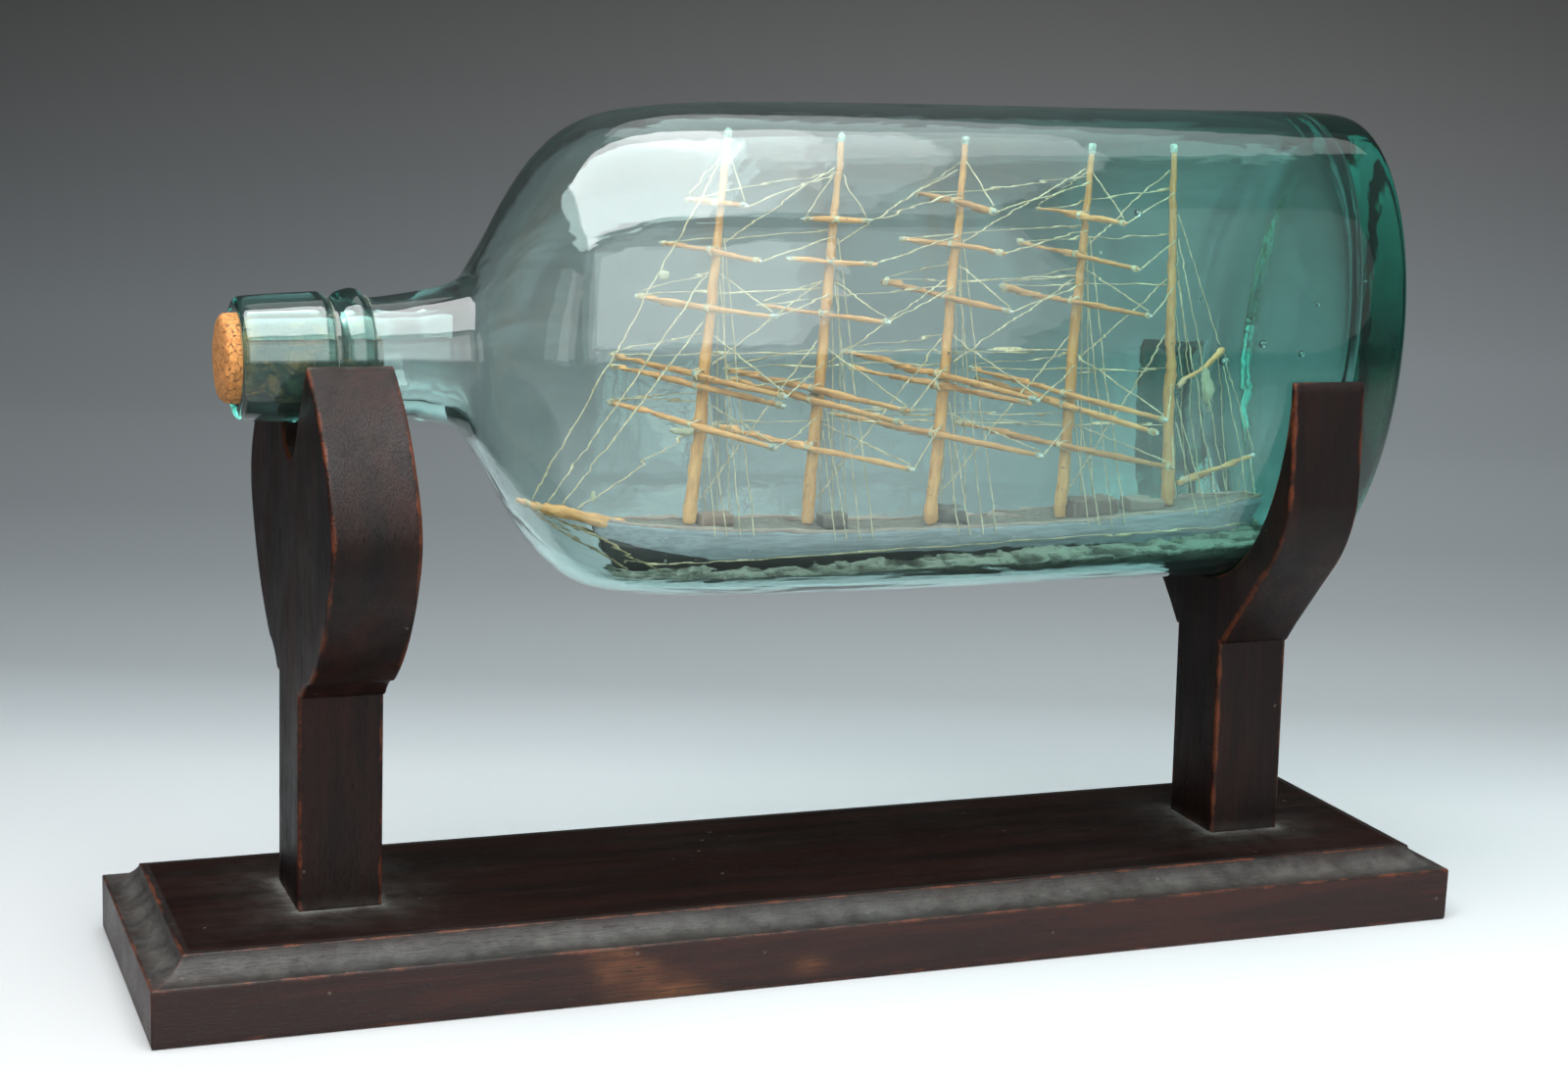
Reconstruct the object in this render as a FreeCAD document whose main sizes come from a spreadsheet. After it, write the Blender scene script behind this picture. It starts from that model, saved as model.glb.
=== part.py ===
import FreeCAD, Part
import math
import os
import Sketcher

# Ship in a bottle on a two-post stand.  Millimetres, +Z up, +X along the base from the
# neck towards the bottom of the bottle, origin at the centre of the base's underside.

doc = FreeCAD.newDocument("ship_in_bottle")
V = FreeCAD.Vector

SIZES = {
    # stand
    "base_length": 380, "base_width": 94, "base_side_height": 15.7, "base_height": 21.2,
    "cove_inset": 8.9, "cove_radius": 9.5, "cove_step": 0.8,
    "post_thick": 22.6, "neck_post_half": 13.5, "body_post_half": 12.7, "lean": 0.027,
    "neck_post_x": -146.9, "body_post_x": 128.5,
    "tenon_inset": 2.5, "tenon_depth": 12, "mortise_depth": 12.6, "joint_gap": 0.1,
    # lyre shaped head that holds the neck
    "ledge_z": 80.1, "lyre_ledge": 16.2, "lyre_waist_y": 27, "lyre_waist_z": 86.5, "lyre_waist_r": 18,
    "lyre_low_y": 53.5, "lyre_low_z": 118.5, "lyre_low_r": 69,
    "lyre_high_y": 52.5, "lyre_high_z": 138.5, "lyre_side_r": 20.5,
    "lyre_tip_y": 22.2, "lyre_tip_z": 167.6, "lyre_top_r": 75,
    "notch_foot_y": 7.55, "notch_foot_z": 145.05, "notch_r": 9,
    # forked head that holds the body
    "fork_ledge": 13.8, "fork_start_y": 18.5, "fork_start_z": 86, "fork_knee_y": 36, "fork_knee_z": 105.5,
    "fork_side_y": 47.6, "fork_side_z": 127, "fork_side_r": 44, "fork_wide_y": 48.2, "fork_wide_z": 143,
    "fork_tip_y": 47.4, "fork_tip_z": 160.5, "fork_top_y": 46.6, "fork_top_z": 162.6,
    "fork_gap": 0.3,
    # bottle
    "axis_z": 167, "bore_r": 11.8, "body_tall": 68.3, "body_wide": 45.5,
    # cork
    "cork_r": 11.75, "cork_out": -165.4, "cork_in": -124.2, "cork_round": 1.4,
    # sea
    "sea_gap": 0.12, "sea_bow_z": 107.6, "sea_stern_z": 112.4, "sea_wave": 1.3,
    # hull
    "stem_x": -64, "bow_x": -28, "quarter_x": 112, "stern_x": 142.5, "hull_half": 9.2,
    "stern_half": 5.2, "bow_r": 79.6, "quarter_r": 118.3, "hull_bottom": 105.3, "hull_top": 126,
    "forefoot_rise": 1.4,
    "sheer_bow_z": 122, "sheer_stern_z": 123.4, "sheer_r": 1150, "sheer_end_x": 152.5,
    "stem_rake": 4.5, "counter_rake": 9, "rail_inset": 0.3, "rail_wide": 0.8, "rail_high": 0.8,
    # spars
    "mast_foot_r": 1.9, "mast_top_r": 0.85, "truck_r": 1.35, "spar_gap": 0.15,
    "yard_r": 0.95, "yard_end_r": 0.6, "light_yard_r": 0.8, "light_yard_end_r": 0.5,
    "bowsprit_tip_x": -84.6, "bowsprit_tip_z": 127.6, "bowsprit_heel_x": -55, "bowsprit_heel_z": 119.3,
    "bowsprit_tip_r": 1.0, "bowsprit_heel_r": 2.4,
    "gaff_r": 0.8, "boom_r": 0.9,
    # thread
    "thread_r": 0.2, "stout_thread_r": 0.27, "thread_gap": 0.35,
    "ensign_long": 11, "ensign_wide": 4.6, "ensign_thick": 0.3,
}

# each mast: foot x, head x, head z
MASTS = {
    "fore": (-36.9, -28.8, 225.0),
    "main": (-1.5, 4.3, 224.2),
    "middle": (36.3, 41.5, 224.2),
    "mizzen": (77.4, 80.9, 222.4),
    "jigger": (112.7, 107.2, 222.9),
}

LEVELS = ("royal", "topgallant", "lower_topgallant", "upper_topsail", "lower_topsail", "course")
LIGHT = ("royal", "topgallant", "lower_topgallant")

# each yard from the top down: height at the mast, length, brace angle, droop of the near arm
YARDS = {
    "fore": ((207.7, 22, 33, 1.8), (194.3, 44, 20, 1.9), (179.2, 44, 42, 2.2),
             (161.0, 73, 22, 1.7), (158.2, 67, 27, 2.3), (147.5, 66, 25, 3.0)),
    "main": ((203.0, 20, 84, 1.0), (191.7, 25, 72, 1.4), (177.3, 40, 46, 1.9),
             (156.6, 73, 24, 1.9), (153.7, 79, 17, 1.2), (140.7, 70, 34, 3.0)),
    "middle": ((207.6, 40, 11, 2.1), (196.2, 39, 26, 1.7), (181.8, 56, 17, 2.1),
               (159.9, 80, 20, 2.5), (157.0, 62, 33, 3.0), (143.3, 78, 27, 1.0)),
    "mizzen": ((204.5, 40, 13, 1.5), (193.4, 64, 6, 1.7), (180.3, 68, 13, 0.6),
               (153.9, 79, 20, 3.0), (150.6, 77, 17, 3.4), (139.2, 76, 30, 2.0)),
}

# deck houses: forward end x, length, width, height
HOUSES = {
    "fore_house": (-34.3, 10, 7, 3.4),
    "main_house": (2.2, 7.6, 6.4, 3.5),
    "middle_house": (39.4, 7.2, 6.4, 4.2),
    "mizzen_house": (80.2, 14.5, 7, 4.2),
    "poop_house": (98.2, 11.8, 7.4, 3.0),
}

# outside and inside of the bottle behind the lip: x, half height, half width, lean of the section
GLASS_OUT = ((-130, 15.3, 15.3, 0), (-124, 15.6, 15.6, 0), (-117, 16.5, 16.5, 0), (-110, 17.6, 17.6, 0),
             (-104.5, 19.0, 18.8, 0), (-100.5, 21.4, 20.6, 0), (-97, 26.5, 24.2, 0),
             (-93, 33.0, 28.2, 0), (-88, 42.0, 33.4, 0), (-83.5, 49.2, 37.0, 0), (-79, 54.8, 39.6, 0),
             (-73, 60.0, 41.8, 0), (-65, 63.8, 43.5, 0), (-54, 66.0, 44.6, 0), (-36, 67.4, 45.2, 0),
             (-10, 68.1, 45.45, 0), (30, 68.3, 45.5, 0), (80, 68.3, 45.5, 0), (115, 68.3, 45.5, 0.006),
             (140, 68.3, 45.5, 0.03), (152, 68.2, 45.3, 0.045), (157, 67.8, 44.8, 0.051),
             (160, 67.0, 43.9, 0.054), (162.1, 65.4, 42.4, 0.055), (163.2, 63.4, 40.6, 0.055),
             (163.6, 61.0, 38.2, 0.055))
GLASS_IN = ((-112, 11.9, 11.9, 0), (-107, 13.0, 13.0, 0), (-103, 15.2, 15.0, 0), (-99.5, 18.4, 17.6, 0),
            (-96, 24.0, 21.4, 0), (-92, 30.6, 25.2, 0), (-87, 38.9, 29.9, 0), (-82.5, 45.5, 33.3, 0),
            (-78, 50.8, 35.8, 0), (-72, 55.9, 37.9, 0), (-64, 59.8, 39.6, 0), (-53, 62.0, 40.7, 0),
            (-36, 63.5, 41.4, 0), (-10, 64.3, 41.65, 0), (30, 64.5, 41.7, 0), (80, 64.5, 41.7, 0),
            (112, 64.4, 41.6, 0.012), (132, 64.0, 41.3, 0.05), (140.5, 63.0, 40.4, 0.07),
            (145.6, 61.0, 38.6, 0.085), (148.6, 58.2, 36.0, 0.09), (150.2, 54.6, 32.6, 0.09),
            (150.7, 50.8, 29.0, 0.09))

sheet = doc.addObject("Spreadsheet::Sheet", "sizes")
for row, (alias, number) in enumerate(SIZES.items(), start=1):
    sheet.set("A%d" % row, alias)
    sheet.set("B%d" % row, str(number))
    sheet.setAlias("B%d" % row, alias)
doc.recompute()


class Size:
    """A number together with the sheet expression that gives it."""

    def __init__(self, value, text):
        self.value = value
        self.text = text

    def __add__(self, other):
        other = size(other)
        return Size(self.value + other.value, "(%s + %s)" % (self.text, other.text))

    def __sub__(self, other):
        other = size(other)
        return Size(self.value - other.value, "(%s - %s)" % (self.text, other.text))

    def __mul__(self, other):
        other = size(other)
        return Size(self.value * other.value, "(%s * %s)" % (self.text, other.text))

    def __neg__(self):
        return Size(-self.value, "(0 - %s)" % self.text)

    __radd__ = __add__
    __rmul__ = __mul__


def size(item):
    """A sheet size by its word, or a plain number, as a Size."""
    if isinstance(item, Size):
        return item
    if isinstance(item, str):
        return Size(float(sheet.get(item)), "sizes.%s" % item)
    return Size(float(item), repr(float(item)))


def value(word):
    """The sheet's number for a word."""
    return float(sheet.get(word))


def bind(feature, **properties):
    """Tie a feature's properties to sheet sizes."""
    for name, item in properties.items():
        feature.setExpression(name, size(item).text)


def arc_between(start, end, radius, left):
    """Arc of a radius between two points, bulging to the left or right of the way from start to end."""
    chord = end - start
    middle = (start + end) * 0.5
    normal = V(-chord.y, chord.x, 0).normalize()
    rise = math.sqrt(max(radius ** 2 - (chord.Length / 2) ** 2, 0))
    centre = middle - normal * rise * (1 if left else -1)
    first, last = (end, start) if left else (start, end)
    a0 = math.atan2(first.y - centre.y, first.x - centre.x)
    a1 = math.atan2(last.y - centre.y, last.x - centre.x)
    if a1 < a0:
        a1 += 2 * math.pi
    return Part.ArcOfCircle(Part.Circle(centre, V(0, 0, 1), radius), a0, a1), (2, 1) if left else (1, 2)


def draw(sketch, loop):
    """Draw one closed outline.

    Each entry is (x, y) for a straight side to the next corner, or (x, y, radius, "left" or "right")
    for an arc to the next corner.  Every corner and radius is tied to its size.
    """
    corners = [V(size(entry[0]).value, size(entry[1]).value, 0) for entry in loop]
    first = sketch.GeometryCount
    ends = []
    for i, entry in enumerate(loop):
        start, end = corners[i], corners[(i + 1) % len(loop)]
        if len(entry) == 2:
            sketch.addGeometry(Part.LineSegment(start, end), False)
            ends.append((1, 2))
        else:
            arc, order = arc_between(start, end, size(entry[2]).value, entry[3] == "left")
            sketch.addGeometry(arc, False)
            ends.append(order)
    for i, entry in enumerate(loop):
        here, after = first + i, first + (i + 1) % len(loop)
        following = (i + 1) % len(loop)
        sketch.addConstraint(Sketcher.Constraint("Coincident", here, ends[i][1], after, ends[following][0]))
    for i, entry in enumerate(loop):
        for axis, kind in ((0, "DistanceX"), (1, "DistanceY")):
            item = size(entry[axis])
            index = sketch.addConstraint(
                Sketcher.Constraint(kind, -1, 1, first + i, ends[i][0], item.value))
            if "sizes" in item.text:
                sketch.setExpression("Constraints[%d]" % index, item.text)
        if len(entry) == 4:
            item = size(entry[2])
            index = sketch.addConstraint(Sketcher.Constraint("Radius", first + i, item.value))
            sketch.setExpression("Constraints[%d]" % index, item.text)


def sketch_in(body, name, role, loops, lift=None):
    """A sketch on one of a body's own origin planes, lifted off it if asked."""
    sketch = body.newObject("Sketcher::SketchObject", name)
    plane = [p for p in body.Origin.OriginFeatures if p.Role == role][0]
    sketch.AttachmentSupport = [(plane, "")]
    sketch.MapMode = "FlatFace"
    if lift is not None:
        sketch.setExpression(".AttachmentOffset.Base.z", size(lift).text)
    for loop in loops:
        draw(sketch, loop)
    return sketch


def pad(body, name, sketch, length):
    """Pad a sketch equally to both sides."""
    feature = body.newObject("PartDesign::Pad", name)
    feature.Profile = sketch
    feature.SideType = "Symmetric"
    bind(feature, Length=length)
    doc.recompute()
    return feature


def cut_through(body, name, sketch):
    """Pocket a sketch through the whole body both ways."""
    feature = body.newObject("PartDesign::Pocket", name)
    feature.Profile = sketch
    feature.Type = "ThroughAll"
    feature.SideType = "Symmetric"
    doc.recompute()
    return feature


def moved(feature, position, rotation=None):
    """Set a finished feature's placement."""
    feature.Placement = FreeCAD.Placement(position, rotation or FreeCAD.Rotation())
    return feature


def finish(feature, label):
    """Give a finished feature its node name."""
    feature.Label = label
    nodes[label] = feature
    return feature


def combine(kind, name, first, others):
    """Cut, fuse or intersect features."""
    feature = doc.addObject(kind, name)
    if kind == "Part::Cut":
        feature.Base = first
        feature.Tool = others[0]
    else:
        feature.Shapes = [first] + list(others)
    doc.recompute()
    return feature


nodes = {}
Q = size

# ---------------------------------------------------------------- stand

half_len = Q("base_length") * 0.5
half_wide = Q("base_width") * 0.5


def base_board():
    """Board with a cove worked along all four edges and a mortise under each post."""
    body = doc.addObject("PartDesign::Body", "base_body")
    in_wide = half_wide - "cove_inset"
    in_len = half_len - "cove_inset"
    top, side, step = Q("base_height"), Q("base_side_height"), Q("cove_step")
    section = [(-half_wide, 0), (half_wide, 0), (half_wide, side),
               (half_wide - step, side, "cove_radius", "right"), (in_wide, top - step), (in_wide, top),
               (-in_wide, top), (-in_wide, top - step, "cove_radius", "right"),
               (-half_wide + step, side), (-half_wide, side)]
    pad(body, "board", sketch_in(body, "board_section", "YZ_Plane", [section]), "base_length")
    outside = half_len + 5
    loops = []
    for sign, turn in ((1, "left"), (-1, "right")):
        # material beyond the cove at one end
        edge = [(outside * sign, side), ((half_len - step) * sign, side, "cove_radius", "right"),
                (in_len * sign, top - step), (in_len * sign, top + 5), (outside * sign, top + 5)]
        if sign < 0:
            edge[1] = edge[1][:3] + ("left",)
        loops.append(edge)
    cut_through(body, "end_coves", sketch_in(body, "end_cove_section", "XZ_Plane", loops))
    gap, inset = Q("joint_gap"), Q("tenon_inset")
    mortises = []
    for left, half in (("neck_post_x", "neck_post_half"), ("body_post_x", "body_post_half")):
        x0 = Q(left) + inset - gap
        x1 = Q(left) + "post_thick" - inset + gap
        y1 = Q(half) - inset + gap
        mortises.append([(x0, -y1), (x1, -y1), (x1, y1), (x0, y1)])
    pocket = body.newObject("PartDesign::Pocket", "mortises")
    pocket.Profile = sketch_in(body, "mortise_outlines", "XY_Plane", mortises, lift="base_height")
    bind(pocket, Length="mortise_depth")
    doc.recompute()
    return body


def lean_cuts(body, left, lean):
    """Trim a post's two faces: a tenon below the board, then faces that lean by the given slope."""
    x0, x1 = Q(left), Q(left) + "post_thick"
    top, tall = Q("base_height"), Q("base_height") + 180
    tenon, inset = Q("base_height") - "tenon_depth" - 5, Q("tenon_inset")
    drift = lean * 180
    before = [(x0 - 30, tenon), (x0 + inset, tenon), (x0 + inset, top), (x0, top),
              (x0 - drift, tall), (x0 - 30, tall)]
    after = [(x1 + 30, tenon), (x1 - inset, tenon), (x1 - inset, top), (x1, top),
             (x1 - drift, tall), (x1 + 30, tall)]
    cut_through(body, body.Name + "_faces",
                sketch_in(body, body.Name + "_face_lines", "XZ_Plane", [before, after]))


def post_foot(half):
    """Right-hand side of a post's outline from the tenon's foot up to the board's top."""
    inner = Q(half) - "tenon_inset"
    foot = Q("base_height") - "tenon_depth"
    return [(inner, foot), (inner, "base_height"), (half, "base_height"), (half, "ledge_z")]


def mirrored(right):
    """Complete a symmetric outline from its right-hand corners, listed from the foot to the top."""
    left = []
    for i in range(len(right) - 1, -1, -1):
        corner = (-Q(right[i][0]), right[i][1])
        if i > 0 and len(right[i - 1]) == 4:
            corner = corner + (right[i - 1][2], right[i - 1][3])
        left.append(corner)
    return right + left


def upright(name, half, left, head, top_arc, lean):
    """A post with its shaped head in one piece of wood."""
    body = doc.addObject("PartDesign::Body", name)
    right = post_foot(half) + head
    if top_arc:
        right[-1] = right[-1][:2] + top_arc
    outline = mirrored(right)
    sketch = sketch_in(body, name + "_outline", "YZ_Plane", [outline])
    offset = Q(left) + Q("post_thick") * 0.5
    sketch.setExpression(".AttachmentOffset.Base.z", offset.text)
    pad(body, name + "_blank", sketch, Q("post_thick") + 14)
    lean_cuts(body, left, lean)
    return body


def stand():
    finish(base_board(), "base_board")
    lyre = [("lyre_ledge", "ledge_z", "lyre_waist_r", "left"),
            ("lyre_waist_y", "lyre_waist_z", "lyre_low_r", "right"),
            ("lyre_low_y", "lyre_low_z", "lyre_side_r", "right"),
            ("lyre_high_y", "lyre_high_z", "lyre_top_r", "right"),
            ("lyre_tip_y", "lyre_tip_z"),
            ("notch_foot_y", "notch_foot_z")]
    neck = upright("neck_body", "neck_post_half", "neck_post_x", lyre, ("notch_r", "left"), Q(0))
    finish(neck, "neck_upright")
    fork = [("fork_ledge", "ledge_z"), ("fork_start_y", "fork_start_z"),
            ("fork_knee_y", "fork_knee_z", "fork_side_r", "right"),
            ("fork_side_y", "fork_side_z"), ("fork_wide_y", "fork_wide_z"),
            ("fork_tip_y", "fork_tip_z"), ("fork_top_y", "fork_top_z")]
    blank = upright("fork_body", "body_post_half", "body_post_x", fork, None, Q("lean"))
    hollow = doc.addObject("Part::Ellipse", "fork_hollow_outline")
    bind(hollow, MajorRadius=Q("body_tall") + "fork_gap", MinorRadius=Q("body_wide") + "fork_gap")
    moved(hollow, V(90, 0, value("axis_z")), ACROSS)
    roll = doc.addObject("Part::Extrusion", "fork_hollow")
    roll.Base = hollow
    roll.DirMode = "Custom"
    roll.Dir = V(1, 0, 0)
    roll.LengthFwd = 90
    roll.Solid = True
    doc.recompute()
    finish(combine("Part::Cut", "fork", blank, [roll]), "body_upright")


# turns a shape's own Z to the row's X and its own X to the row's Z
ACROSS = FreeCAD.Rotation(V(0, 0, 1), V(0, -1, 0), V(1, 0, 0), "ZXY")


# ---------------------------------------------------------------- bottle

def oval(name, x, tall, wide, lean):
    """One oval section of the bottle, its top leaning towards the bottom of the bottle."""
    ring = doc.addObject("Part::Ellipse", name)
    ring.MajorRadius = max(tall, wide)
    ring.MinorRadius = wide
    tilt = FreeCAD.Rotation(V(0, 1, 0), math.degrees(lean))
    return moved(ring, V(x, 0, value("axis_z")), tilt.multiply(ACROSS))


def skin(name, sections, shrink=0):
    """Smooth solid through a row of oval sections."""
    rings = []
    for i, (x, tall, wide, lean) in enumerate(sections):
        rings.append(oval("%s_%02d" % (name, i), x, tall - shrink, wide - shrink, lean))
    loft = doc.addObject("Part::Loft", name)
    loft.Sections = rings
    loft.Solid = True
    loft.Ruled = False
    loft.MaxDegree = 5
    doc.recompute()
    return loft


def lathe(name, profile):
    """Turn an (x, radius) outline about the bottle's axis."""
    sketch = doc.addObject("Sketcher::SketchObject", name + "_outline")
    sketch.Placement = FreeCAD.Placement(V(0, 0, value("axis_z")), FreeCAD.Rotation(V(1, 0, 0), 90))
    draw(sketch, profile)
    doc.recompute()
    turned = doc.addObject("Part::Revolution", name)
    turned.Source = sketch
    turned.Axis = V(1, 0, 0)
    turned.Base = V(0, 0, value("axis_z"))
    turned.Angle = 360
    turned.Solid = True
    doc.recompute()
    return turned


def bottle():
    """Bottle with a two-part lip, drawn-in shoulder, oval body and thick bottom."""
    outside = skin("glass_outside", GLASS_OUT)
    lip = lathe("glass_lip", [(-161, 0), (-161, 14.9, 1.6, "left"), (-159.6, 16.1), (-148, 16.7),
                              (-139.8, 17.1, 1.2, "left"), (-138.4, 16.3), (-137.8, 15.5),
                              (-136.0, 15.5), (-134.8, 17.0), (-131.5, 17.9, 2.2, "left"),
                              (-128.6, 17.0), (-127.4, 15.5), (-126, 15.4), (-126, 0)])
    solid = combine("Part::MultiFuse", "glass_solid", outside, [lip])
    cavity = skin("glass_cavity", GLASS_IN)
    bore = lathe("glass_bore", [(-162, 0), (-162, "bore_r"), (-111, "bore_r"), (-111, 0)])
    hollow = combine("Part::MultiFuse", "glass_hollow", cavity, [bore])
    finish(combine("Part::Cut", "glass", solid, [hollow]), "bottle_glass")
    r, end, start, edge = Q("cork_r"), Q("cork_in"), Q("cork_out"), Q("cork_round")
    plug = lathe("plug", [(start, 0), (start, r - edge), (start + edge, r),
                          (end - 0.5, r), (end, r - 0.5), (end, 0)])
    finish(plug, "cork")


# ---------------------------------------------------------------- sea and hull

def sheer(x):
    """Height of the deck edge at x, an arc hanging between bow and stern."""
    x0, x1 = value("stem_x") - 3, value("sheer_end_x")
    z0, z1 = value("sheer_bow_z"), value("sheer_stern_z")
    along = (x - x0) / (x1 - x0)
    return z0 + (z1 - z0) * along - (x - x0) * (x1 - x) / (2 * value("sheer_r"))


def breadth(x):
    """Half breadth of the hull at x."""
    half = value("hull_half")
    if x < value("bow_x"):
        r = value("bow_r")
        return half - r + math.sqrt(max(r * r - (x - value("bow_x")) ** 2, 0))
    if x > value("quarter_x"):
        r = value("quarter_r")
        return half - r + math.sqrt(max(r * r - (x - value("quarter_x")) ** 2, 0))
    return half


def free_sketch(name, height, rotation, loops):
    """A sketch placed by itself."""
    sketch = doc.addObject("Sketcher::SketchObject", name)
    sketch.Placement = FreeCAD.Placement(V(0, 0, height), rotation)
    for loop in loops:
        draw(sketch, loop)
    doc.recompute()
    return sketch


def extruded(name, sketch, direction, forward, backward=0):
    """Solid made by pushing a sketch along a direction."""
    solid = doc.addObject("Part::Extrusion", name)
    solid.Base = sketch
    solid.DirMode = "Custom"
    solid.Dir = direction
    solid.LengthFwd = forward
    solid.LengthRev = backward
    solid.Solid = True
    doc.recompute()
    return solid


def plan(inset):
    """Deck outline drawn in by an inset, from the stem round by the near side."""
    half = Q("hull_half") - inset
    stern = Q("stern_half") - inset
    stem = Q("stem_x") + inset * 2
    tip = Q(0.25)
    return [(stem, -tip, "bow_r", "right"), ("bow_x", -half), ("quarter_x", -half, "quarter_r", "right"),
            (Q("stern_x") - inset, -stern), (Q("stern_x") - inset, stern, "quarter_r", "right"),
            ("quarter_x", half), ("bow_x", half, "bow_r", "right"), (stem, tip)]


SIDEWAYS = FreeCAD.Rotation(V(1, 0, 0), 90)


def hull():
    """Plain carved hull: deck outline below the sheer arc, with raked stem and counter."""
    bottom, top = value("hull_bottom"), value("hull_top")
    block = extruded("hull_block", free_sketch("deck_plan", bottom, FreeCAD.Rotation(), [plan(Q(0))]),
                     V(0, 0, 1), top - bottom)
    x0, x1 = Q("stem_x") - 3, Q("sheer_end_x")
    side = [(x0, "sheer_bow_z", "sheer_r", "right"), (x1, "sheer_stern_z"),
            (Q("stern_x") - "counter_rake", "hull_bottom"),
            ("bow_x", "hull_bottom"),
            (Q("stem_x") + Q("stem_rake") * 1.5, Q("hull_bottom") + "forefoot_rise"),
            ("stem_x", Q("sheer_bow_z") - 3.5),
            (x0, Q("sheer_bow_z") - 2)]
    profile = extruded("hull_profile", free_sketch("hull_side", 0, SIDEWAYS, [side]), V(0, 1, 0), 20, 20)
    carved = combine("Part::MultiCommon", "hull_carved", block, [profile])
    outer = extruded("rail_outer", free_sketch("rail_plan", bottom, FreeCAD.Rotation(),
                                               [plan(Q("rail_inset"))]), V(0, 0, 1), top - bottom)
    inner = extruded("rail_inner", free_sketch("rail_inner_plan", bottom, FreeCAD.Rotation(),
                                               [plan(Q("rail_inset") + "rail_wide")]),
                     V(0, 0, 1), top - bottom)
    ring = combine("Part::Cut", "rail_ring", outer, [inner])
    band = [(x0, "sheer_bow_z", "sheer_r", "right"), (x1, "sheer_stern_z"),
            (x1, Q("sheer_stern_z") + "rail_high", "sheer_r", "left"),
            (x0, Q("sheer_bow_z") + "rail_high")]
    strip = extruded("rail_band", free_sketch("rail_side", 0, SIDEWAYS, [band]), V(0, 1, 0), 20, 20)
    rails = combine("Part::MultiCommon", "rail_strip", ring, [strip])
    sprit = spar("bowsprit_spar", V(value("bowsprit_heel_x"), 0, value("bowsprit_heel_z")),
                 V(value("bowsprit_tip_x"), 0, value("bowsprit_tip_z")), "bowsprit_heel_r",
                 "bowsprit_tip_r")
    finish(combine("Part::Cut", "rails_cut", rails, [sprit]), "rails")
    finish(combine("Part::Cut", "hull_cut", carved, [sprit]), "hull")
    finish(sprit, "bowsprit")
    return nodes["hull"]


def houses(deck):
    """Deck houses standing on the curved deck."""
    for name, (x, long, wide, tall) in HOUSES.items():
        box = doc.addObject("Part::Box", name + "_block")
        box.Length = long
        box.Width = wide
        box.Height = tall + 1.5
        moved(box, V(x, -wide / 2, sheer(x + long / 2) - 1.5))
        finish(combine("Part::Cut", name + "_cut", box, [deck]), name)


def sea(deck):
    """Putty sea: the bottom of the cavity up to a wavy top, with the hull bedded in it."""
    inside = skin("sea_inside", GLASS_IN, value("sea_gap"))
    x0, x1 = -66.0, 149.0
    waves = 9
    z0, z1 = value("sea_bow_z"), value("sea_stern_z")
    tops = []
    for i in range(waves + 1):
        x = x0 + (x1 - x0) * i / waves
        z = z0 + (z1 - z0) * i / waves
        tops.append((x, z + (value("sea_wave") if i % 2 else 0)))
    loop = [(x1, 95), (x0, 95), (x0, z0 - 2.5)]
    loop += [(x, z) for x, z in tops[1:]]
    block = extruded("sea_block", free_sketch("sea_waves", 0, SIDEWAYS, [loop]), V(0, 1, 0), 50, 50)
    bed = combine("Part::MultiCommon", "sea_bed", inside, [block])
    finish(combine("Part::Cut", "sea_putty", bed, [deck]), "sea")


# ---------------------------------------------------------------- spars

def spar(name, start, end, start_r, end_r):
    """Tapered round spar between two points."""
    way = end - start
    cone = doc.addObject("Part::Cone", name)
    cone.Height = way.Length
    bind(cone, Radius1=start_r, Radius2=end_r)
    return moved(cone, start, FreeCAD.Rotation(V(0, 0, 1), way))


def mast_point(mast, z):
    """Point on a mast's centre line at height z."""
    foot_x, head_x, head_z = MASTS[mast]
    foot_z = sheer(foot_x) + 0.1
    t = (z - foot_z) / (head_z - foot_z)
    return V(foot_x + (head_x - foot_x) * t, 0, z)


def mast_radius(mast, z):
    """Radius of a mast at height z."""
    foot_x, head_x, head_z = MASTS[mast]
    foot_z = sheer(foot_x)
    t = (z - foot_z) / (head_z - foot_z)
    return value("mast_foot_r") + (value("mast_top_r") - value("mast_foot_r")) * t


def yard_line(mast, level):
    """Far end, near end and middle radius of a yard, lying against its mast."""
    z, length, brace, droop = YARDS[mast][LEVELS.index(level)]
    turn, fall = math.radians(brace), math.radians(droop)
    along = V(math.sin(turn) * math.cos(fall), -math.cos(turn) * math.cos(fall), -math.sin(fall))
    radius = value("light_yard_r" if level in LIGHT else "yard_r")
    off = mast_radius(mast, z) + radius + value("spar_gap")
    middle = mast_point(mast, z) + V(-math.cos(turn), -math.sin(turn), 0) * off
    return middle - along * (length / 2), middle + along * (length / 2), radius


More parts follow.
